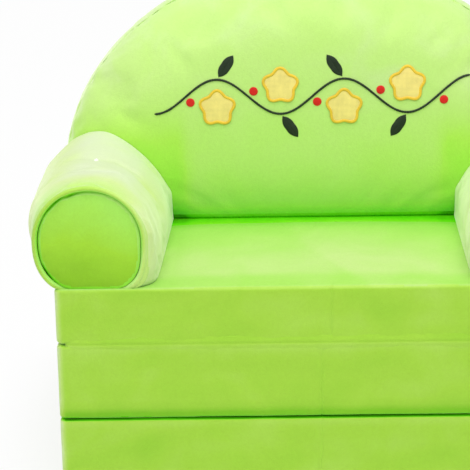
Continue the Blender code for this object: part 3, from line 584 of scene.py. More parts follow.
def napAndLightBack(p):
    # painted crease shade low down, paler upwards where the light falls, painted shade again beside the arms
    x, up = np.abs(p[:, 0]), p[:, 2] - seatTop
    armShade = 0.10 * smoothStep(0.145, 0.175, x) + 0.14 * smoothStep(0.156, 0.172, x)
    armShade = armShade * smoothStep(0.16, 0.08, up)
    return np.interp(up, back["napAndLightUp"], back["napAndLightShares"]) - armShade + 0.02 * drift(p, 0.16, 43)


backPieces = dressBack()
frontTree = BVHTree.FromObject(backPieces[0], bpy.context.evaluated_depsgraph_get())
print("backrest dressed")


def backFrontY(x, z):
    # the finished front panel's y behind each place, or a far value of 1 m beside the cushion
    found = np.ones(len(x))
    for number, (a, c) in enumerate(zip(x, z)):
        hit = frontTree.ray_cast(Vector((a, -1, c)), Vector((0, 1, 0)))[0]
        if hit:
            found[number] = hit.y
    return found


# the rolled arms

arm = {
    "frontInset": 0.0425,  # the rolls' middles, in from the base's side, and above the seat
    "frontUp": 0.0548,
    "rearInset": 0.0335,
    "rearUp": 0.0294,
    "innerInset": 0.118,  # the inner sides' level line
    "rim": 0.0654,
    "seam": 0.0590,  # where the front disc is sewn in
    "radius": 0.0865,
    "roll": 0.0045,  # how far the rim stands in front of the disc's seam
    "settle": 0.210,  # how far behind the front the middle and the radius reach their rear values
    "bulge": 0.024,  # how soon behind the rim the inner side swells to its full width
    "bulgePower": 2.6,
    "footLong": 0.040,  # how soon its lower inner quarter gets full
    "seamPower": 3.2,  # fullness of the lower inner quarter at the rim, and behind it
    "lowerPower": 7,
    "upperPower": 1.5,
    "outerPower": 2.4,
    "footPower": 90,
    "sunk": 0.0010,  # how far its pile presses into the seat's
    "endRound": 0.050,
    "rearY": 0.150,
    "columns": 104,
    "footFrom": 188,  # degrees round the roll between which its inner foot meets the seat
    "footTo": 222,
    "cell": 0.0070,
    "rimRows": np.linspace(-0.4 * math.pi, math.pi, 15),  # angles round the rolled rim
    "firstRows": [0.005, 0.013, 0.023, 0.037, 0.053, 0.073],  # shares of the body's length
    "endRings": (0.985, 0.94, 0.87, 0.78, 0.66, 0.5, 0.33, 0.16, 0.04),  # shares of the last row's size
    "smaller": 0.0020,  # the cloth starts this much inside its full form
    "wall": 0.0016,
    "tucked": 0.0040,  # how far the cover folds forward beside the rim, low on the inner side
    "fold": 0.0017,  # folds behind that: height, distance, place and spread
    "foldPitch": 0.0135,
    "foldBehind": 0.024,
    "foldSpread": 0.022,
    "napAndLightBehind": [0, 0.02, 0.05, 0.09],  # the body's nap and painted highlight by how far behind the rim
    "napAndLightShares": [0.54, 0.66, 0.78, 0.97],
    "discCrown": 0.0058,
    "discInside": 0.0004,  # how far its edge lies inside the seam
    "discHalf": 0.0020,  # half of its thickness at the edge
    "discNapAndLightUp": [0, 0.02, 0.05, 0.11],  # the disc's nap and painted shade by height above the seat, deeper lower down
    "discNapAndLightShares": [0.22, 0.34, 0.50, 0.68],
    "seamDeep": 0.0022,
    "seamRows": 8,  # rows of the rim's faces that turn into the seam, which take the painted seam shade
    "jog": 0.0010,  # the step in the left disc's seam: its size, place and spread
    "jogAngle": math.radians(116),
    "jogSpread": 0.22,
    "valley": 0.0016,  # depth of the hollow just behind the rim
    "gap": 0.0010,  # to the backrest's cloth
}
armFrontY = armLow[1]
armFrontX, armRearX = seatHigh[0] - arm["frontInset"], seatHigh[0] - arm["rearInset"]
armInnerX = seatHigh[0] - arm["innerInset"]
armBodyY = armFrontY + arm["roll"]
armEndY = arm["rearY"] - arm["endRound"]


def armMiddle(y):
    settle = smoothStep(0, 1, (y - armFrontY) / arm["settle"])
    up = arm["frontUp"] + (arm["rearUp"] - arm["frontUp"]) * settle
    return armFrontX + (armRearX - armFrontX) * settle, seatTop + up


def armRadius(y):
    left = 1 - np.clip((y - armBodyY) / (armEndY - armBodyY), 0, 1)
    return arm["rim"] + (arm["radius"] - arm["rim"]) * (1 - left * left)


def armSection(theta, radius, y, bulge=0, foot=0):
    # a ring of the right arm at y, pressed flat on the seat. Each quarter is a superellipse: as the
    # bulge goes from 0 to 1 the inner half reaches a level line and gets flatter above it, and as the
    # foot does it gets fuller below; returns x and z
    middleX, middleZ = armMiddle(y)
    across, up = np.cos(theta), np.sin(theta)
    inner = across < 0
    first = np.where(up < 0, arm["seamPower"], 2)
    full = np.where(up < 0, arm["lowerPower"], arm["upperPower"])
    full = 2.6 + (full - 2.6) * smoothStep(0, 0.22, np.abs(up))
    grown = np.where(up < 0, foot, bulge)
    power = np.where(inner, first + (full - first) * grown, np.where(up < 0, arm["outerPower"], 2))
    widen = np.where(inner, 1 + ((middleX - armInnerX) / armRadius(y) - 1) * bulge, 1)
    reach = radius * ((np.abs(across) / widen) ** power + np.abs(up) ** power) ** (-1 / power)
    drop = (middleZ - seatTop + arm["sunk"]) / np.maximum(-up, 1e-3)
    press = arm["footPower"]
    reach = np.where(up < -1e-3, (reach**-press + drop**-press) ** (-1 / press), reach)
    return middleX + reach * across, middleZ + reach * up


def frontAngle(theta):
    # the angle round a disc as one faces the left arm: from its inner side upwards
    return (math.pi - theta) % tau


def seamJog(theta, side):
    # the left disc's seam steps out a little where its sewing began, which dies away on both sides
    turn = frontAngle(theta) - arm["jogAngle"]
    return arm["jog"] * np.tanh(turn / 0.035) * hump(turn, arm["jogSpread"]) * (side < 0)


def seamDepth(theta, side):
    # how deep the disc's seam is drawn in round the roll, from 0 to 1: deepest at the upper outer part,
    # shallow along the inner side and at the foot. The left one is pulled in more at three places
    degrees = np.degrees(frontAngle(theta))
    marks = [0, 60, 84, 100, 108, 116, 124, 140, 150, 175, 190, 204, 212, 220, 228, 240, 300, 330, 360]
    even = [0.12, 0.16, 0.34, 0.42, 0.46, 0.48, 0.48, 0.48, 0.45, 0.42, 0.42, 0.38, 0.36, 0.34, 0.3, 0.2,
            0.08, 0.1, 0.12]
    pulled = [0, 0, 0, 0.06, 0.34, 0.07, 0.32, 0.24, 0, 0, 0, -0.02, 0.54, 0.56, 0, 0, 0, 0, 0]
    return np.interp(degrees, marks, even) + np.interp(degrees, marks, pulled) * (side < 0)


def pressedShare(theta):
    # 1 where the disc's edge is pressed onto the seat, 0 where it is round
    z = armSection(theta, arm["seam"], np.full_like(theta, armBodyY))[1]
    return smoothStep(0.0075, 0.0015, z - seatTop)


def ringAngles():
    # even round the roll, and close together where the inner foot turns onto the seat
    even = np.linspace(0, tau, arm["columns"], endpoint=False) + 0.01
    foot = np.radians(np.arange(arm["footFrom"], arm["footTo"], 0.9))
    return np.sort(np.concatenate([even[(even < foot[0] - 0.02) | (even > foot[-1] + 0.02)], foot]))


def armRows(theta, side):
    # the arm's rings of points: the rolled rim, from the disc's seam forward and over
    rows = []
    rimMiddle, rimHalf = (arm["rim"] + arm["seam"]) / 2, (arm["rim"] - arm["seam"]) / 2
    for angle in arm["rimRows"]:
        y = armBodyY - arm["roll"] * math.sin(angle) * (1 - 0.75 * pressedShare(theta))
        radius = rimMiddle - rimHalf * math.cos(angle)
        x, z = armSection(theta, radius + seamJog(theta, side) * smoothStep(1.5, 0.5, angle), y)
        rows.append(np.column_stack([x, y, z]))
    # then the growing body, each column as long as the backrest lets it
    folded = smoothStep(-0.25, -0.8, np.sin(theta)) * smoothStep(0.1, -0.4, np.cos(theta))
    x, z = armSection(theta, arm["radius"], np.full_like(theta, armEndY - 0.02), 1, 1)
    stop = np.minimum(armEndY, backFrontY(side * x, z) - arm["gap"])
    evenRows = np.linspace(0.1, 1, math.ceil(0.29 / arm["cell"]))
    for share in np.concatenate([arm["firstRows"], evenRows]):
        y = armBodyY + (stop - armBodyY) * share
        # low on the inner side the cover folds forward beside the rim
        behind = y - armBodyY
        grown = np.clip((behind + 0.001 + arm["tucked"] * folded) / arm["bulge"], 0, 1)
        foot = smoothStep(-0.004, arm["footLong"], behind)
        radius = armRadius(y) - arm["valley"] * hump(behind - 0.0045, 0.0035)
        x, z = armSection(theta, radius, y, 1 - (1 - grown) ** arm["bulgePower"], foot)
        rows.append(np.column_stack([x, y - arm["tucked"] * folded * smoothStep(0.016, 0.002, behind), z]))
    # and the rounded rear end
    last = rows[-1]
    middle = last.mean(0)
    for ring in arm["endRings"]:
        spot = middle + (last - middle) * ring
        y = armEndY + arm["endRound"] * math.sqrt(1 - ring * ring)
        y = np.minimum(y, backFrontY(side * spot[:, 0], spot[:, 2]) - arm["gap"])
        spot[:, 1] = np.maximum(y, last[:, 1] * ring + (1 - ring) * last[:, 1].min())
        rows.append(spot)
    return rows


def dressArm(name, side, node, seed):
    theta = ringAngles()
    rows = armRows(theta, side)
    points = np.concatenate(rows)
    cap = np.arange(len(theta)) + (len(rows) - 1) * len(theta)
    tip = np.column_stack([cap, np.roll(cap, -1), np.full(len(cap), len(points))])
    points = np.vstack([points, points[cap].mean(0)]) * [side, 1, 1]
    faces = [gridQuads(len(rows), len(theta), wrap=True), tip]
    piece = makePiece(name, points, faces, plushArm, "sofa_body", [node], "lime_plush")
    onRim = facesOf(piece)[0][:, 1] < armBodyY + 0.002
    # the rows that turn into the seam take the sheenless seam finish: painted seam shade
    seamShade = np.arange(len(onRim)) < arm["seamRows"] * len(theta)
    splitFinish(piece, (plushFront, onRim), (plushSeamShade, seamShade))
    normals = normalsOf(piece)
    behind = points[:, 1] - armBodyY
    free = smoothStep(0.0, 0.012, behind) * smoothStep(seatTop + 0.002, seatTop + 0.012, points[:, 2])
    nearBack = smoothStep(0.006, 0.0, backFrontY(points[:, 0], points[:, 2]) - arm["gap"] - points[:, 1])
    free = free * (1 - nearBack)
    setPoints(piece, points - normals * (arm["smaller"] * free)[:, None])
    inflate(piece, np.clip(1 - free, 0, 1))
    points, normals = pointsOf(piece), normalsOf(piece)
    x, y, z = points.T
    # folds run down the inner side behind the rim, where the cover is pulled round its foam
    low = smoothStep(seatTop + 0.085, seatTop + 0.02, z) * smoothStep(0.235, 0.205, np.abs(x))
    wander = drift(points, 0.05, seed)
    fold = np.sin((behind + 0.012 * np.sin(z * 55)) * tau / arm["foldPitch"] + 1.7 * wander)
    fold = fold * low * hump(behind - arm["foldBehind"], arm["foldSpread"])
    slow = drift(points, 0.09, seed + 1) * 0.0009 + drift(points, 0.03, seed + 2) * 0.00025
    points = points + normals * (free * (arm["fold"] * fold + slow))[:, None]
    points[:, 2] = np.maximum(points[:, 2], seatTop - arm["sunk"])
    setPoints(piece, points)
    setNapAndLight(piece, napAndLightArm(points, side, behind, seed))
    smoothOnce(piece)
    addWall(piece, arm["wall"])


def napAndLightArm(p, side, behind, seed):
    # painted shade deep in the seam, raised beside it, then a painted highlight over the rim and a
    # painted silvery highlight over the body
    middleX, middleZ = armMiddle(np.full(len(p), armFrontY))
    out = p[:, 0] * side - middleX
    fromSeam = np.hypot(out, p[:, 2] - middleZ) - arm["seam"]
    aside = out / arm["rim"]
    # a painted highlight over the rim away from the seam, strongest on its inner side
    over = smoothStep(0.0010, 0.0056, fromSeam) * (0.22 + 0.78 * smoothStep(0.15, -0.7, aside))
    turn = np.arctan2(p[:, 2] - middleZ, out)
    # painted seam shade, as deep as the seam is drawn in
    rim = 0.52 - 0.48 * seamDepth(turn, side) * smoothStep(0.0022, 0.0008, fromSeam) + 0.32 * over
    # a painted silvery highlight over the body, growing further back
    body = np.interp(behind, arm["napAndLightBehind"], arm["napAndLightShares"])
    # painted shade on the outer side, painted highlight on the inner side
    body = body - 0.14 * smoothStep(0.3, 0.9, aside) + 0.07 * smoothStep(-0.5, -1.0, aside)
    inner = smoothStep(-0.45, -0.85, aside)
    body = np.minimum(body + inner * 0.24 * smoothStep(0.05, 0.0, behind), 1 - 0.14 * inner)
    body = body + 0.02 * drift(p, 0.10, seed + 3)
    share = smoothStep(0.010, -0.002, behind)
    return body * (1 - share) + rim * share


def dressDisc(name, side, node, seed):
    # the round front panel: a square's grid pressed onto a disc, crowned, its edge turned in at the seam
    steps = np.concatenate([np.linspace(0, 0.86, 15), [0.91, 0.94, 0.96, 0.975, 0.99, 1]])
    line = np.concatenate([-steps[:0:-1], steps])
    skin, quads = blockSkin([line, np.array([-1.0, 0, 1]), line])
    a, b, c = skin.T
    x, z = a * np.sqrt(1 - c**2 / 2), c * np.sqrt(1 - a**2 / 2)
    share, theta = np.hypot(x, z), np.arctan2(z, x) % tau
    edge = arm["seam"] - arm["discInside"] + seamJog(theta, side)
    edgeX, edgeZ = armSection(theta, edge, np.full_like(theta, armBodyY))
    centreX, centreZ = armFrontX, seatTop + arm["frontUp"]
    points = np.column_stack([
        side * (centreX + (edgeX - centreX) * share), armBodyY + arm["discHalf"] * (b + 1),
        centreZ + (edgeZ - centreZ) * share,
    ])
    front, pressed = b < 0, pressedShare(theta)
    swell = arm["discCrown"] * (1 - share**2.6) + 0.0018 * pressed * smoothStep(0.6, 1, share)
    drawn = (1 - pressed) * seamDepth(theta, side)
    swell = swell - arm["seamDeep"] * smoothStep(0.955, 1, share) * drawn
    wave = drift(points, 0.03, seed) * 0.0005 * (1 - share**8)
    gather = drift(points, 0.012, seed + 1, 20) * 0.0003 * smoothStep(0.7, 0.95, share)
    points[:, 1] += front * (wave + gather - swell)
    piece = makePiece(name, points, quads, plushDisc, "sofa_body", [node], "lime_plush")
    # the edge rings take the sheenless seam finish and the nap darkens there: painted seam shade
    splitFinish(piece, (plushSeamShade, share[quads].mean(1) > 0.945))
    seamShade = smoothStep(0.955, 0.982, share) * drawn
    # painted shade lower down on the crowned disc, paler towards its inner side
    napAndLight = np.interp(points[:, 2] - seatTop, arm["discNapAndLightUp"], arm["discNapAndLightShares"])
    napAndLight = napAndLight + 0.08 * smoothStep(0.1, -0.8, (side * points[:, 0] - armFrontX) / arm["seam"])
    setNapAndLight(piece, (napAndLight + 0.02 * drift(points, 0.07, seed + 2)) * (1 - 0.95 * seamShade))
    smoothOnce(piece)


for place, side, seed in (("left", -1, 51), ("right", 1, 61)):
    dressArm(place + "_arm_plush", side, place + "_arm_cover", seed)
for place, side, seed in (("left", -1, 71), ("right", 1, 73)):
    dressDisc(place + "_arm_disc_plush", side, place + "_arm_front_panel", seed)
print("arms dressed")


# the three foam layers in their plush covers

layers = {
    "cell": 0.009,
    "corner": 0.0095,  # upright edges
    "edge": 0.0050,  # level edges
    "edgeSteps": 4,
    "draw": 0.0014,  # how far the sides pull in between their edges
    "pucker": 0.0007,
    "puckerSize": 0.022,
    "pieceSeam": 0.0011,  # depth of the upright joining seam on the front
    "slotDepth": 0.0034,
    "slotHalf": 0.0064,
    "letIn": 0.0013,  # how far the grip cloth is let in
    "crownHalf": 0.180,  # half the width over which the seat swells
    "gapShadeDeep": 0.012,  # how far the sheenless seam finish, painted gap shade, runs in under the rolled lower edge
    "napAndLightBehind": [0.006, 0.015, 0.033, 0.063, 0.11, 0.16, 0.21],  # the seat's nap and painted crease shade in front of the crease
    "napAndLightShares": [0.1, 0.12, 0.22, 0.40, 0.5, 0.57, 0.65],
}


def gridLines(half, rounding, extra):
    # lines along one axis: even between the roundings, closer over each rounding, plus extra ones
    steps = rounding * np.tan(np.linspace(0, math.pi / 4, layers["edgeSteps"] + 1))
    inner = half - rounding
    flat = np.linspace(-inner, inner, max(2, math.ceil(2 * inner / layers["cell"])) + 1)
    flat = flat[np.abs(flat[:, None] - extra[None, :]).min(1) > layers["cell"] / 4]
    lines = np.concatenate([-inner - steps[:0:-1], [-inner, inner], flat, inner + steps[1:], extra])
    return np.unique(np.round(lines, 6))


def roundBlock(points, half, corner, edge):
    # a block's skin with its upright edges rounded by corner and its level edges by edge
    core = half[:2] - corner
    flat = np.clip(points[:, :2], -core, core)
    off = points[:, :2] - flat
    way = off / np.maximum(np.linalg.norm(off, axis=1, keepdims=True), 1e-9)
    inset = corner - np.abs(off).max(1)
    deep, level = np.maximum(inset, edge), np.clip(points[:, 2], edge - half[2], half[2] - edge)
    a, b = deep - inset, points[:, 2] - level
    scale = edge / np.maximum(np.hypot(a, b), 1e-9)
    inset = deep - a * scale
    rim = np.abs(off).max(1) > 0
    xy = np.where(rim[:, None], flat + way * (corner - inset)[:, None], points[:, :2])
    return np.column_stack([xy, level + b * scale])


def dressLayer(place, spec):
    low, high = boxOf(place + "_cover")
    top = seatTop if place == "seat" else high[2]
    middle = np.array([0, 0, (low[2] + top) / 2])
    half = np.array([high[0], high[1], (top - low[2]) / 2])
    clothLow, clothHigh = boxOf(place + "_base_cloth")
    zipLow, zipHigh = boxOf(place + "_zip_tape")
    zipUp = (zipLow[2] + zipHigh[2]) / 2 - middle[2]
    # the zip runs along x in the rear face or along y in the right one
    onRear = zipHigh[1] > high[1] - 0.01 and zipHigh[0] < high[0] - 0.01
    alongZip, throughZip = (0, 1) if onRear else (1, 0)
    zipHalf, slot = (zipHigh - zipLow)[alongZip] / 2, layers["slotHalf"]
    # extra grid lines for the grip cloth's edges, the joining seam and the zip's slot
    extra = [
        np.concatenate([s * (clothHigh[axis] + np.array([-0.001, 0.0005])) for s in (-1, 1)])
        for axis in (0, 1)
    ]
    bySeam = np.array([-0.004, -0.002, -0.0008, 0, 0.0008, 0.002, 0.004])
    extra[0] = np.append(extra[0], spec["seamX"] + bySeam)
    for s in (-1, 1):
        extra[alongZip] = np.append(extra[alongZip], s * (zipHalf + np.array([-0.002, 0, 0.002])))
    extra.append(zipUp + slot * np.array([-1.5, -1.05, -0.85, -0.3, 0.3, 0.85, 1.05, 1.5]))
    roundings = (layers["corner"], layers["corner"], layers["edge"])
    skin, quads = blockSkin([gridLines(*three) for three in zip(half, roundings, extra)])
    edge = np.where(skin[:, 2] < 0, spec["lowRound"], layers["edge"])
    points = roundBlock(skin, half, layers["corner"], edge)
    if spec["lowEdge"]:
        # the front's lower edge rolls under more than the other edges
        reach = spec["lowEdge"] * 1.1
        drop = np.clip((reach - (points[:, 2] + half[2])) / reach, 0, 1)
        onFront = smoothStep(-half[1] + 0.05, -half[1] + 0.02, points[:, 1])
        points[:, 1] += onFront * spec["lowRoll"] * drop**2.5
    px, py, pz = points.T  # these follow the points as they move
    upright = np.clip(1 - (pz / half[2]) ** 2, 0, 1)
    even, near = [], []
    for axis in (0, 1):
        even.append(np.clip(1 - (points[:, axis] / half[axis]) ** 6, 0, 1))
        near.append(smoothStep(half[axis] - 0.03, half[axis] - 0.004, np.abs(points[:, axis])))
    wander = drift(points + middle, 0.11, spec["seed"])
    fine = drift(points + middle, 0.035, spec["seed"] + 1)
    draw = layers["draw"] * (0.75 + 0.5 * wander) + 0.00035 * fine
    for axis in (0, 1):
        points[:, axis] -= np.sign(points[:, axis]) * near[axis] * upright * even[1 - axis] * draw
    # puckers beside the level edges on the sides
    pucker = 0.3 + np.abs(drift(points * [1, 1, 0.2], layers["puckerSize"], spec["seed"] + 2, 20))
    pucker = pucker * layers["pucker"] * hump(np.abs(pz) - half[2] + 0.004, 0.008)
    for axis in (0, 1):
        points[:, axis] -= np.sign(points[:, axis]) * near[axis] * even[1 - axis] * pucker
    onFront = smoothStep(-half[1] + 0.012, -half[1] + 0.006, py)
    fromSeam = px - spec["seamX"]
    groove = hump(fromSeam - 0.0012 * np.sin(pz * 60), 0.0011) + 0.25 * hump(fromSeam, 0.005)
    points[:, 1] += onFront * groove * layers["pieceSeam"]
    # the lips beside the zip open inwards over its tape
    lips = smoothStep(half[throughZip] - 0.012, half[throughZip] - 0.006, points[:, throughZip])
    lips = lips * smoothStep(slot * 1.06, slot * 0.84, np.abs(pz - zipUp))
    lips = lips * smoothStep(zipHalf + 0.0021, zipHalf, np.abs(points[:, alongZip]))
    points[:, throughZip] -= lips * layers["slotDepth"]
    # the flat faces lie just inside the neighbours, with the grip cloth let in
    faceUp = np.sign(pz) * smoothStep(half[2] - 0.002, half[2] - 0.0002, np.abs(pz))
    quiet = 0.00025 * (1 + np.clip(wander, -1, 1))
    points[:, 2] -= faceUp * quiet * np.where((faceUp > 0) & (spec["crown"] > 0), 0.55, 1)
    clothSide = 1 if (clothLow[2] + clothHigh[2]) / 2 > middle[2] else -1
    inCloth = smoothStep(clothHigh[0] + 0.0005, clothHigh[0] - 0.0008, np.abs(px))
    inCloth *= smoothStep(clothHigh[1] + 0.0005, clothHigh[1] - 0.0008, np.abs(py))
    points[:, 2] -= np.where(faceUp * clothSide > 0.5, clothSide * inCloth * layers["letIn"], 0)
    points += middle
    if spec["crown"]:
        points = crownSeat(points, faceUp, wander, fine, spec["crown"])
    piece = makePiece(
        place + "_plush", points, quads, plushFront, spec["body"], [place + "_cover"], "lime_plush",
    )
    spots, ways = facesOf(piece)
    # faces round the gap between the middle and bottom layers take the sheenless seam finish: painted light
    # and shade for the gap
    gapShade = (np.abs(spots[:, 2] - jointHeights[1] - 0.0012) < 0.0034) & (np.abs(ways[:, 2]) > 0.3)
    gapShade &= (np.abs(spots[:, :2]) > half[:2] - layers["gapShadeDeep"]).any(1)
    onTop = (ways[:, 2] > 0.8) & (spec["crown"] > 0)
    # the seat's last 38 mm before the crease take the sheenless seam finish: painted crease shade
    deep = onTop & (spots[:, 1] > creaseY - 0.038)
    splitFinish(piece, (plushSeamShade, gapShade), (plushSeat, onTop), (plushSeamShade, deep))
    setNapAndLight(piece, spec["napAndLight"](pointsOf(piece)))
    smoothOnce(piece)


def crownSeat(points, faceUp, wander, fine, crown):
    # the seat swells between the arms and in front of the backrest, a little unevenly
    px, py = points[:, 0], points[:, 1]
    across = np.clip(1 - (px / layers["crownHalf"]) ** 2, 0, 1)
    middleY, halfY = (creaseY + seatLow[1]) / 2, (creaseY - seatLow[1]) / 2
    along = np.clip(1 - ((py - middleY) / halfY) ** 4, 0, 1)
    swell = crown * np.sqrt(across) * along
    points[:, 2] += np.clip(faceUp, 0, 1) * (swell + across * along * (0.0006 * wander + 0.0002 * fine))
    return points


def napAndLightSeat(p):
    # painted crease shade, then paler forwards; a lighter field to the right of a slanting line that a
    # hand has left, painted shade beside the arms and behind the front edge, with a painted highlight on the
    # edge
    x, y = p[:, 0], p[:, 1]
    fromCrease = creaseY - y
    napAndLight = np.interp(fromCrease, layers["napAndLightBehind"], layers["napAndLightShares"])
    line = -0.040 + 0.10 * np.clip(fromCrease / 0.3, 0, 1) ** 1.3 * (1 - (y + 0.23) / 0.5)
    field = smoothStep(-0.004, 0.010, x - line) * smoothStep(0.16, 0.04, x)
    field = field * smoothStep(0.04, 0.09, fromCrease)
    napAndLight = napAndLight + 0.08 * field + 0.02 * drift(p, 0.12, 31)
    napAndLight = napAndLight - (0.04 + 0.06 * smoothStep(0.07, 0.03, fromCrease)) * smoothStep(0.150, 0.168, np.abs(x))
    fromEdge = y + seatHigh[1]
    napAndLight = np.maximum(napAndLight, 0.05) - 0.14 * smoothStep(0.058, 0.028, fromEdge)
    napAndLight = napAndLight + 0.12 * smoothStep(0.007, 0.003, fromEdge)
    onTop = smoothStep(seatTop - 0.004, seatTop - 0.0015, p[:, 2])
    return napAndLightFront(p) * (1 - onTop) + napAndLight * onTop


def insideRim(p):
    # how far a spot lies inside the layers' upright faces
    return np.minimum(seatHigh[0] - np.abs(p[:, 0]), seatHigh[1] - np.abs(p[:, 1]))


def napAndLightFront(p):
    # a painted highlight round the upright edges, painted shade in the joints between the layers and a
    # painted highlight just below each joint
    napAndLight = 0.5 + 0.03 * drift(p * [1, 1, 2.5], 0.10, 37)
    napAndLight = napAndLight + 0.38 * smoothStep(seatHigh[0] - 0.0095, seatHigh[0] - 0.002, np.abs(p[:, 0]))
    byRim = smoothStep(0.018, 0.010, insideRim(p))
    # painted shade in each joint, by depth, and a painted highlight 7 mm below it
    for depth, z in zip((0.15, 0.60), jointHeights):
        above = p[:, 2] - z
        napAndLight = napAndLight - depth * smoothStep(0.0030, 0.0016, np.abs(above)) * byRim
        napAndLight = napAndLight + 0.07 * hump(above + 0.007, 0.004)
    return napAndLight


def napAndLightMiddle(p):
    # painted shade deepening towards the front's lower edge, which rolls under; in the gap below it the
    # tone is painted lighter against the shade there
    above = p[:, 2] - jointHeights[1]
    napAndLight = napAndLightFront(p) - 0.08 * smoothStep(0.026, 0.009, above) - 0.22 * smoothStep(0.011, 0.005, above)
    return np.where(above < 0.0020, 0.52 + 0.18 * smoothStep(0.018, 0.010, insideRim(p)), napAndLight)


jointHeights = [(boxOf(node)[0][2] + boxOf(below)[1][2]) / 2
                for node, below in (("seat_cover", "middle_cover"), ("middle_cover", "bottom_cover"))]
layerSpecs = {
    "seat": {"body": "sofa_body", "seamX": 0.0190, "crown": 0.0045, "seed": 3, "napAndLight": napAndLightSeat},
    "middle": {"body": "middle_layer", "seamX": 0.0073, "lowEdge": 0.024, "lowRoll": 0.0012,
               "lowRound": 0.0030, "seed": 13, "napAndLight": napAndLightMiddle},
    "bottom": {"body": "bottom_layer", "seamX": 0.0056, "seed": 23, "napAndLight": napAndLightFront},
}
for place, own in layerSpecs.items():
    dressLayer(place, {"lowEdge": 0, "lowRound": layers["edge"], "crown": 0, **own})
print("layers dressed")


# the cloth hinges between the layers

hinge = {
    "half": 0.0086,  # height of the strip above and below the joint
    "thick": 0.0008,
    "tuck": 0.0013,  # how far its sewn edges sink into the plush
    "groove": 0.0003,
    "inside": 0.0002,  # how far it lies inside the leaves' face
    "over": 0.003,  # how far it runs past their ends, where it sinks in by endTuck
    "endTuck": 0.0016,
    "bend": 0.0022,  # half of the height over which a bend would run; the strip is not made to bend
    "rows": np.array([1, 0.88, 0.74, 0.6, 0.46, 0.34, 0.24, 0.16, 0.09, 0.03]),
    "columns": 150,
}


def dressHinge(place):
    # a strip across the joint: its outer face is level, with a shallow valley at the joint and
    # edges that sink into the covers; its inner face lies one thickness behind
    leaves = [place + "_upper_leaf", place + "_lower_leaf"]
    low, high = boxOf(leaves[0])
    jointZ = (low[2] + boxOf(leaves[1])[1][2]) / 2
    away = -1 if low[1] < 0 else 1
    face = (low[1] if away < 0 else high[1]) - away * hinge["inside"]
    up = hinge["half"] * np.concatenate([hinge["rows"], -hinge["rows"][::-1]])
    x = np.linspace(low[0] - hinge["over"], high[0] + hinge["over"], hinge["columns"])
    grid = np.zeros((len(up), len(x), 3))
    grid[..., 0], grid[..., 2] = x[None, :], jointZ + up[:, None]
    wave = drift(grid.reshape(-1, 3) * [1, 1, 0.3], 0.028, 81, 20).reshape(len(up), len(x))
    sunk = hinge["tuck"] * smoothStep(0.25, 1.05, np.abs(up) / hinge["half"])[:, None]
    sunk = sunk + hinge["groove"] * hump(up, 0.0013)[:, None] + 0.00022 * (1 + wave)
    ends = smoothStep(high[0] - 0.009, high[0] + hinge["over"], np.abs(x))[None, :]
    grid[..., 1] = face - away * (sunk + hinge["endTuck"] * ends)
    back = grid.copy()
    back[..., 1] -= away * hinge["thick"]
    points, faces = thinCloth(grid.reshape(-1, 3), back.reshape(-1, 3), len(up), len(x))
    strip = makePiece(place + "_cloth", points, faces, plushFront, None, leaves, "lime_plush")
    above = points[:, 2] - jointZ
    # painted shade in the groove at the joint, a little lighter below it
    napAndLight = 0.47 + 0.08 * smoothStep(0.001, -0.001, above) - 0.04 * smoothStep(0.0014, 0.0004, np.abs(above))
    setNapAndLight(strip, napAndLight + 0.03 * drift(points, 0.08, 83))
    ends = [(0, face - away * hinge["thick"] / 2, jointZ + side * hinge["bend"]) for side in (1, -1)]
    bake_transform(strip)


dressHinge("front_hinge")
dressHinge("rear_hinge")
print("hinges dressed")


# the sewn trim on the backrest

trim = {
    "half": 0.200,  # half the vine's length
    "up": 0.162,  # the vine's middle height above the seat
    "swing": 0.022,
    "wave": 0.160,
    "thread": 0.0015,  # half width of the stem-stitched line
    "threadHigh": 0.0007,
    "threadPitch": 0.0034,
    "threadSlant": 1.2,
    "petal": 0.0235,
    "petalShare": 0.10,
    "feltHigh": 0.0012,
    "offset": 0.036,  # from the vine to the middle of a blossom
    "rim": 0.0019,
    "rimPitch": 0.0012,
    "rimSlant": 0.3,
    "satinHigh": 0.0009,  # crown of the satin rims and leaves
    "leafLong": 0.034,
    "leafWide": 0.013,
    "leafStand": 0.0035,
    "leafTilt": math.radians(35),
    "leafPower": 0.75,
    "berry": 0.0055,
    "berryHigh": 0.0012,
    "berryStand": 0.0038,  # between the vine's middle and a berry's edge
    "satinPitch": 0.0011,
    "satinRidge": 0.22,  # how far the satin stitches rise and fall, as a share of the crown
    "lift": 0.0002,
}
yellowFelt = makeCloth("yellow_felt_applique", "fbe58a", 0.0016, 0.95, 0.0003, 0.3)
goldThread = makeCloth("gold_rayon_thread", "f4c93a", 0.0009, 0.5, 0.0002, 0.1)
darkThread = makeCloth("dark_green_thread", "13290c", 0.0009, 0.5, 0.0002, 0.1)
redThread = makeCloth("red_rayon_thread", "e2231a", 0.0009, 0.5, 0.0002, 0.1)


def onFront(x, z):
    # the finished front panel under places: its points, and its slopes as unit normals
    spots, slopes = np.empty((len(x), 3)), np.empty((len(x), 3))
    for number, (a, c) in enumerate(zip(x, z)):
        hit, slope, _, _ = frontTree.ray_cast(Vector((a, -1, c)), Vector((0, 1, 0)))
        spots[number], slopes[number] = hit, slope if slope.y < 0 else -slope
    return spots, slopes


def layFlat(local, x, z, turn):
    # lays a flat sewn shape on the cushion; it is modelled round its own middle, its height third
    c, s = math.cos(turn), math.sin(turn)
    across = x + local[:, 0] * c - local[:, 1] * s
    up = z + local[:, 0] * s + local[:, 1] * c
    spots, slopes = onFront(across, up)
    return spots + slopes * (trim["lift"] + local[:, 2])[:, None]


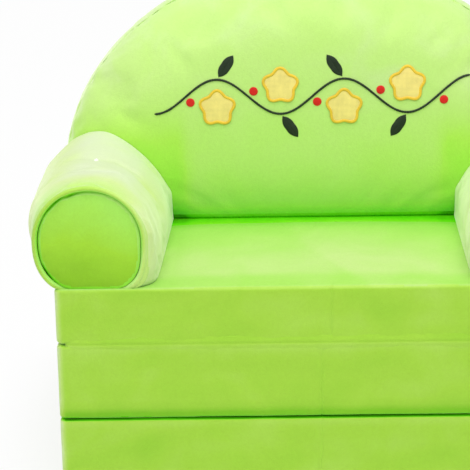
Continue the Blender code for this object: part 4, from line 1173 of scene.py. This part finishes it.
def sewnShape(name, reach, height, x, z, turn, finish, slot, node, cells=26, ridges=None):
    # a square's grid pressed onto a shape: reach gives its outline by angle, height its crown;
    # ridges are the satin stitches across it
    edge = np.array([0.93, 0.97, 1])
    line = np.concatenate([np.linspace(0, 0.88, cells), edge])
    line = np.concatenate([-line[:0:-1], line])
    skin, quads = blockSkin([line, line, np.array([-1.0, 1.0])])
    u, v, w = skin.T
    a, b = u * np.sqrt(1 - v**2 / 2), v * np.sqrt(1 - u**2 / 2)
    share, angle = np.hypot(a, b), np.arctan2(b, a)
    far = reach(angle) * share
    local = np.column_stack([far * np.cos(angle), far * np.sin(angle), np.zeros(len(far))])
    crown = height * np.sqrt(np.clip(1 - share**3, 0, 1))
    if ridges is not None:
        crown = crown * (1 + trim["satinRidge"] * ridges(local))
    local[:, 2] = np.where(w > 0, crown + 0.0001, 0)
    makePiece(name, layFlat(local, x, z, turn), quads, finish, "sofa_body", [node], slot)


def stitchedLine(name, path, half, height, pitch, slant, finish, slot, node, closed=False):
    # a raised stitched line: a flat oval carried along the path, which swells once per stitch
    spots, slopes = onFront(path[:, 0], path[:, 1])
    ahead = np.roll(spots, -1, 0) - np.roll(spots, 1, 0)
    if not closed:
        ahead[0], ahead[-1] = spots[1] - spots[0], spots[-1] - spots[-2]
    ahead /= np.linalg.norm(ahead, axis=1, keepdims=True)
    side = np.cross(ahead, slopes)
    side /= np.linalg.norm(side, axis=1, keepdims=True)
    run = np.concatenate([[0], np.cumsum(np.linalg.norm(np.diff(spots, axis=0), axis=1))])
    around = np.linspace(0, tau, 10, endpoint=False)
    across, up = np.cos(around)[None, :], np.sin(around)[None, :]
    phase = (run[:, None] + slant * half * across) / pitch * tau
    swell = 0.84 + 0.16 * np.abs(np.sin(phase / 2)) ** 0.6 + 0.05 * drift(spots, 0.01, 91)[:, None]
    if not closed:
        # it narrows towards both ends
        fromEnd = np.minimum(run, run[-1] - run)
        swell = swell * np.sqrt(np.clip(fromEnd / (2 * half), 0.02, 1))[:, None]
    ring = (
        spots[:, None, :]
        + side[:, None, :] * (half * across * swell)[..., None]
        + slopes[:, None, :] * (trim["lift"] + height * (1 + up * swell))[..., None]
    )
    rows, cols = len(path), len(around)
    faces, last = [gridQuads(rows, cols, wrap=True)], (rows - 1) * cols
    if closed:
        i = np.arange(cols)
        faces.append(np.column_stack([last + i, last + (i + 1) % cols, (i + 1) % cols, i]))
    else:
        faces.append(np.array([np.arange(cols)[::-1], last + np.arange(cols)]))
    makePiece(name, ring.reshape(-1, 3), faces, finish, "sofa_body", [node], slot)


def vineUp(x):
    return trim["up"] + trim["swing"] * np.sin(tau * x / trim["wave"])


def besideVine(x, turn, away):
    return x + away * math.cos(turn), vineUp(x) + away * math.sin(turn)


def petalReach(angle):
    return trim["petal"] * (1 - trim["petalShare"] + trim["petalShare"] * np.cos(5 * angle))


def leafReach(angle):
    bulge = np.abs(np.sin(angle)) ** trim["leafPower"]
    return trim["leafLong"] / 2 * (1 - bulge) + trim["leafWide"] / 2 * bulge


def leafRidges(local):
    # stitches run from the midrib to the edge, slanting towards the tip
    slanted = (local[:, 0] - 0.7 * np.abs(local[:, 1])) / trim["satinPitch"]
    return np.sin(slanted * tau) - 1.6 * hump(local[:, 1], 0.0006)


def berryReach(angle):
    return np.full_like(angle, trim["berry"])


def berryRidges(local):
    return np.sin(local[:, 0] / trim["satinPitch"] * tau)


def dressTrim():
    x = np.linspace(-trim["half"], trim["half"], 900)
    stitchedLine(
        "vine_stem_stitch", np.column_stack([x, seatTop + vineUp(x)]), trim["thread"], trim["threadHigh"],
        trim["threadPitch"], trim["threadSlant"], darkThread, "dark_thread", "vine_stitch",
    )
    quarter = math.pi / 2
    for number in range(4):
        # a blossom in each bend, and a leaf on the vine's other side
        bend = trim["wave"] * (number / 2 - 0.75)
        side = 1 if number % 2 else -1
        bx, bz = besideVine(bend, side * quarter, trim["offset"])
        bz += seatTop
        sewnShape(
            f"blossom_{number + 1}_felt", petalReach, trim["feltHigh"], bx, bz, quarter, yellowFelt,
            "yellow_felt", f"blossom_{number + 1}_petals",
        )
        angle = np.linspace(0, tau, 620, endpoint=False)
        reach = petalReach(angle) - trim["rim"] * 0.6
        ring = np.column_stack([bx - reach * np.sin(angle), bz + reach * np.cos(angle)])
        stitchedLine(
            f"blossom_{number + 1}_satin_rim", ring, trim["rim"], trim["satinHigh"], trim["rimPitch"],
            trim["rimSlant"], goldThread, "gold_stitch", f"blossom_{number + 1}_rim", closed=True,
        )
        turn = side * quarter + math.pi + math.copysign(trim["leafTilt"], -side * bend)
        lx, lz = besideVine(bend, turn, trim["leafLong"] / 2 + trim["leafStand"])
        sewnShape(
            f"vine_leaf_{number + 1}_satin", leafReach, trim["satinHigh"], lx, seatTop + lz, turn,
            darkThread, "dark_thread", f"vine_leaf_{number + 1}", cells=40, ridges=leafRidges,
        )
    for number in range(5):
        # a berry beside the vine where it runs through its middle height
        crossing = trim["wave"] * (number / 2 - 1)
        slope = trim["swing"] * tau / trim["wave"] * math.cos(tau * crossing / trim["wave"])
        turn = math.atan(slope) + (1 if number % 2 else -1) * quarter
        rx, rz = besideVine(crossing, turn, trim["berry"] + trim["berryStand"])
        sewnShape(
            f"vine_berry_{number + 1}_satin", berryReach, trim["berryHigh"], rx, seatTop + rz, 0, redThread,
            "red_stitch", f"vine_berry_{number + 1}", cells=22, ridges=berryRidges,
        )


dressTrim()
print("trim sewn on")


# zips: woven tapes and coil teeth; their nickel sliders and pulls are finished further down

zips = {
    "pitch": 0.0018,  # one tooth of a number 5 nylon coil
    "coilHalf": 0.0021,
    "coilRise": 0.0010,
    "coilOut": 0.0003,  # how far out the coil's middle stands
    "tapeIn": 0.0004,  # how far in the tape's middle lies
    "tape": 0.0007,
    "ripple": 0.00005,
    "bare": 0.008,  # the tape's length past each end of the coil
    "samples": 6,  # rows of points for each tooth
}
tapeFinish = makeCloth("zip_tape_polyester", "7fce2a", 0.0009, 0.85, 0.0002, 0.1)
coilFinish = makeCloth("zip_coil_nylon", "6fbf22", 0.0016, 0.45, 0.0001)


def dressZip(name, node, body):
    # the tape is a thin woven strip on each side of a coil, whose teeth rise once per pitch and
    # stand half a pitch apart on its two sides
    low, high = boxOf(node)
    middle = (low + high) / 2
    onRear = high[0] - low[0] > high[1] - low[1]
    long = 0 if onRear else 1
    half = (high[long] - low[long]) / 2
    halfUp = (high[2] - low[2]) / 2

    def place(along, out, up):
        # out is measured from the strip's middle plane, away from the layer
        if onRear:
            return np.column_stack([middle[0] + along, middle[1] + out, middle[2] + up])
        return np.column_stack([middle[0] + out, middle[1] + along, middle[2] + up])

    strips, coils = [], []
    for side in (-1, 1):
        a, b = np.meshgrid(
            np.linspace(-half, half, 160), side * np.linspace(0.0001, halfUp, 7), indexing="ij",
        )
        rows, cols = a.shape
        a, b = a.ravel(), b.ravel()
        ripple = drift(np.column_stack([a, b * 0.3, 0 * a]), 0.02, 95) * zips["ripple"] - zips["tapeIn"]
        outer, inner = (place(a, ripple + s * zips["tape"] / 2, b) for s in (1, -1))
        strips.append(thinCloth(outer, inner, rows, cols))
    tape = makePiece(name + "_tape_cloth", *joinParts(strips), tapeFinish, body, [node], "zip_tape")

    chain = half - zips["bare"]
    count = int(2 * chain / zips["pitch"]) * zips["samples"]
    run = np.linspace(-chain, chain, count + 1)
    around = np.linspace(0, tau, 8, endpoint=False)
    for side in (-1, 1):
        beat = np.abs(np.sin(run / zips["pitch"] * math.pi + (math.pi / 2 if side > 0 else 0)))
        beat = 0.55 + 0.45 * beat**0.7
        beat[[0, -1]] = 0.05
        wide = zips["coilHalf"] / 2 * 1.08
        up = side * wide * 0.96 + np.cos(around)[None, :] * wide * beat[:, None]
        out = zips["coilOut"] + np.sin(around)[None, :] * zips["coilRise"] / 2 * beat[:, None]
        along = np.repeat(run[:, None], len(around), 1)
        spots = place(along.ravel(), out.ravel(), up.ravel())
        coils.append((spots, gridQuads(len(run), len(around), wrap=True)))
    closeEnds(makePiece(name + "_coil", *joinParts(coils), coilFinish, body, [node], "zip_tape"))


def closeEnds(piece):
    form = bmesh.new()
    form.from_mesh(piece.data)
    bmesh.ops.holes_fill(form, edges=[e for e in form.edges if e.is_boundary])
    bmesh.ops.recalc_face_normals(form, faces=form.faces)
    form.to_mesh(piece.data)
    form.free()
    piece.data.shade_smooth()


for name, body, cover in (
    ("seat_zip", "sofa_body", "seat_plush"), ("backrest_zip", "sofa_body", "backrest_rear_plush"),
    ("middle_zip", "middle_layer", "middle_plush"), ("bottom_zip", "bottom_layer", "bottom_plush"),
):
    dressZip(name, name + "_tape", body)
print("zips dressed")


# grip cloths: woven cloth with rows of soft rubber dots

grip = {
    "pitch": 0.011,
    "dot": 0.0016,  # radius of a dot
    "rise": 0.0004,
    "sheet": 0.0007,
    "wave": 0.00012,  # how far the cloth lies uneven
    "inside": 0.0004,  # how far its edges lie inside the solid's
    "margin": 0.01,  # bare cloth outside the dots
}
# dark woven cloth; its dots are a smoother, darker rubber than the weave
gripCloth = makeCloth("grip_cloth_woven", "4a4d49", 0.0012, 0.9, 0.0002)
gripDots = makeCloth("grip_dot_rubber", "26282a", 0.004, 0.55, 0.0001)


def dressGrip(name, node, body, cover):
    low, high = boxOf(node)
    coverLow, coverHigh = boxOf(cover)
    down = -1 if (low[2] + high[2]) / 2 < (coverLow[2] + coverHigh[2]) / 2 else 1
    outer = low[2] if down < 0 else high[2]
    u = np.linspace(low[0] + grip["inside"], high[0] - grip["inside"], 70)
    v = np.linspace(low[1] + grip["inside"], high[1] - grip["inside"], 52)
    a, b = np.meshgrid(u, v, indexing="ij")
    flat = np.column_stack([a.ravel(), b.ravel(), 0 * a.ravel()])
    lift = grip["wave"] * drift(flat, 0.05, 97)
    face = outer - down * (grip["rise"] + 0.0001)
    top, under = flat.copy(), flat.copy()
    top[:, 2], under[:, 2] = face + lift, face - down * grip["sheet"] + lift
    points, faces = thinCloth(top, under, len(u), len(v))
    sheet = makePiece(name + "_cloth", points, faces, gripCloth, body, [node], "grip_cloth")
    # dots in staggered rows, each a low dome of eight sides
    x = np.arange(low[0] + grip["margin"], high[0] - grip["margin"] + 0.002, grip["pitch"])
    y = np.arange(low[1] + grip["margin"], high[1] - grip["margin"] + 0.002, grip["pitch"] * 0.87)
    gx, gy = np.meshgrid(x, y, indexing="ij")
    gx = gx + (np.arange(len(y)) % 2)[None, :] * grip["pitch"] / 2
    spots = np.column_stack([gx.ravel(), gy.ravel()])
    spots = spots[spots[:, 0] < high[0] - 0.006]
    angle = np.linspace(0, tau, 8, endpoint=False)
    rings = [(1.0, -0.3), (0.8, 0.6), (0.4, 0.95)]
    dome = [[r * math.cos(t), r * math.sin(t), h] for r, h in rings for t in angle]
    dome = np.array(dome + [[0, 0, 1.0], [0, 0, -0.3]])
    dome[:, :2] *= grip["dot"]
    dome[:, 2] = face + down * dome[:, 2] * grip["rise"]
    sides = gridQuads(len(rings), len(angle), wrap=True)
    i = np.arange(len(angle))
    after = np.roll(i, -1)
    caps = np.concatenate([
        np.column_stack([16 + i, 16 + after, 24 + 0 * i]), np.column_stack([after, i, 25 + 0 * i]),
    ])
    points = np.repeat(dome[None], len(spots), 0)
    points[:, :, :2] += spots[:, None, :]
    starts = (np.arange(len(spots)) * len(dome))[:, None, None]
    faces = [(sides[None] + starts).reshape(-1, 4), (caps[None] + starts).reshape(-1, 3)]
    makePiece(name + "_dots", points.reshape(-1, 3), faces, gripDots, body, [node], "grip_cloth")


for name, body in (("seat", "sofa_body"), ("middle", "middle_layer"), ("bottom", "bottom_layer")):
    dressGrip(name + "_grip", name + "_base_cloth", body, name + "_cover")
print("grip cloths dressed")


# the solids that stay: fillings inside, and the nickel sliders and pulls


def makeFilling(name, code, pore, depth, rough=0.95):
    # foam or fibre: a pale mass with open cells or lying fibres, one cell apart
    made, tree, shader = newMaterial(name)
    place = addNode(tree, "ShaderNodeTexCoord").outputs["Object"]
    cell = addNode(tree, "ShaderNodeTexVoronoi", Vector=place, Scale=1 / pore)
    cloud = addNode(tree, "ShaderNodeTexNoise", Vector=place, Scale=1 / (pore * 9), Detail=3.0)
    mixed = addNode(
        tree, "ShaderNodeMath", {"operation": "ADD"}, _0=cell.outputs["Distance"], _1=cloud.outputs[0],
    )
    bump = addNode(tree, "ShaderNodeBump", Strength=0.6, Distance=depth, Height=cell.outputs["Distance"])
    feedNode(
        tree, shader, Base_Color=shadedColour(tree, code, mixed.outputs[0], 1.4, 1.05, 0.86),
        Normal=bump.outputs[0], Roughness=rough,
    )
    return made


def makeNickel():
    # die-cast zinc, nickel plated and tumbled: bright grey metal with a faint satin grain
    made, tree, shader = newMaterial("nickel_plated_zinc")
    place = addNode(tree, "ShaderNodeTexCoord").outputs["Object"]
    grain = addNode(tree, "ShaderNodeTexNoise", Vector=place, Scale=1 / 0.0012, Detail=4.0)
    shine = addNode(
        tree, "ShaderNodeMapRange", Value=grain.outputs[0], From_Min=0.3, From_Max=0.7, To_Min=0.22,
        To_Max=0.36,
    )
    feedNode(
        tree, shader, Base_Color=shadedColour(tree, "c9c7c1", grain.outputs[0], 0.7, 0.94, 1.03),
        Roughness=shine.outputs[0], Metallic=1.0,
    )
    return made


fillings = {
    "foam_slab": makeFilling("upholstery_foam", "efe8cf", 0.0016, 0.0004),
    "foam_board": makeFilling("board_foam", "ece6d2", 0.0013, 0.0003),
    "foam_roll": makeFilling("roll_foam", "efe8cf", 0.0016, 0.0004),
    "sponge": makeFilling("soft_sponge_sheet", "f0e4a8", 0.0024, 0.0006),
    "wadding": makeFilling("polyester_wadding", "f5f5f2", 0.0035, 0.0008, 1.0),
}
nickel = makeNickel()
for name, solid in nodes.items():
    for ending, finish in fillings.items():
        if name.endswith(ending):
            solid.data.materials.clear()
            solid.data.materials.append(finish)
    if name.endswith(("_slider", "_pull")):
        solid.data.materials.clear()
        solid.data.materials.append(nickel)
print("remaining solids finished")


# floor, light and camera


def seenDirectly(tree):
    # 1 for what the camera or a mirror sees, 0 for the light that falls on the sofa
    path = addNode(tree, "ShaderNodeLightPath")
    return addNode(
        tree, "ShaderNodeMath", {"operation": "MAXIMUM"},
        _0=path.outputs["Is Camera Ray"], _1=path.outputs["Is Glossy Ray"],
    ).outputs[0]


floorPoints = [(-6, -6, -0.0004), (6, -6, -0.0004), (6, 6, -0.0004), (-6, 6, -0.0004)]
floor = bpy.data.objects.new("floor", bpy.data.meshes.new("floor"))
floor.data.from_pydata(floorPoints, [], [(0, 1, 2, 3)])
scene.collection.objects.link(floor)
made, tree, shader = newMaterial("pale_floor")
feedNode(tree, shader, Base_Color=toLinear("f4f4f4"), Roughness=0.9, Specular_IOR_Level=0.1)
seen = seenDirectly(tree)
# the floor shows its shadow round the base and turns to the backdrop's white away from it
spot = addNode(tree, "ShaderNodeTexCoord").outputs["Object"]
baseHalf = (seatHigh[0], seatHigh[1], 1)
for operation, others in (("ABSOLUTE", {}), ("SUBTRACT", {"_1": baseHalf}), ("MAXIMUM", {"_1": (0, 0, 0)})):
    spot = addNode(tree, "ShaderNodeVectorMath", {"operation": operation}, _0=spot, **others).outputs[0]
away = addNode(tree, "ShaderNodeVectorMath", {"operation": "LENGTH"}, _0=spot).outputs["Value"]
pale = addNode(
    tree, "ShaderNodeMapRange", {"interpolation_type": "SMOOTHSTEP"}, Value=away, From_Min=0.0,
    From_Max=0.15, To_Min=0.80, To_Max=0.97,
)
white = addNode(tree, "ShaderNodeEmission", Color=(1, 1, 1, 1), Strength=1.0)
part = addNode(tree, "ShaderNodeMath", {"operation": "MULTIPLY"}, _0=seen, _1=pale.outputs[0])
blendNode = addNode(
    tree, "ShaderNodeMixShader", _0=part.outputs[0], _1=shader.outputs[0], _2=white.outputs[0],
)
tree.links.new(blendNode.outputs[0], tree.nodes["Material Output"].inputs["Surface"])
floor.data.materials.append(made)

world = bpy.data.worlds.new("studio")
world.use_nodes = True
worldTree = world.node_tree
ambient = worldTree.nodes["Background"]
ambient.inputs["Color"].default_value = (1, 1, 1, 1)
ambient.inputs["Strength"].default_value = 0.5
backdrop = addNode(worldTree, "ShaderNodeBackground", Color=(1, 1, 1, 1), Strength=1.0)
mixed = addNode(
    worldTree, "ShaderNodeMixShader", _0=seenDirectly(worldTree), _1=ambient.outputs[0],
    _2=backdrop.outputs[0],
)
worldTree.links.new(mixed.outputs[0], worldTree.nodes["World Output"].inputs["Surface"])
scene.world = world


def addLamp(name, place, aim, size, power):
    lamp = bpy.data.lights.new(name, "AREA")
    lamp.shape = "RECTANGLE"
    lamp.size, lamp.size_y = size
    lamp.energy = power
    thing = bpy.data.objects.new(name, lamp)
    scene.collection.objects.link(thing)
    thing.location = place
    thing.rotation_euler = (Vector(aim) - Vector(place)).to_track_quat("-Z", "Y").to_euler()


addLamp("key_above_front", (0.1, -0.9, 2.1), (0, 0, 0.3), (1.6, 1.6), 26)
addLamp("overhead", (0, 0, 2.2), (0, 0, 0.3), (1.6, 1.6), 7)
addLamp("left_high", (-1.6, -0.2, 2.0), (0, 0, 0.3), (1.4, 1.4), 6)
addLamp("front_fill", (0, -2.3, 1.2), (0, 0, 0.3), (1.6, 1.2), 6)
addLamp("rear_fill", (0.6, 2.4, 1.7), (0, 0, 0.3), (1.6, 1.6), 8)

camera = bpy.data.cameras.new("camera")
viewer = bpy.data.objects.new("camera", camera)
scene.collection.objects.link(viewer)
camera.sensor_width = 36
camera.sensor_fit = "HORIZONTAL"
pictureWidth = 470
focalPixels = 2071
axisPixel = 314  # the column of the photograph in which the sofa's middle lies
camera.lens = focalPixels / pictureWidth * camera.sensor_width
camera.shift_x = -(axisPixel / pictureWidth - 0.5)
camera.clip_start = 0.01
# its place and its turn are fitted to the photograph
viewer.location = (0, -2.496, 0.9175)
tilt, roll = math.radians(90 - 15.06), math.radians(-0.7)
viewer.rotation_euler = (Matrix.Rotation(tilt, 3, "X") @ Matrix.Rotation(roll, 3, "Z")).to_euler()
scene.camera = viewer
scene.view_settings.view_transform = "Standard"
print("floor, light and camera set")
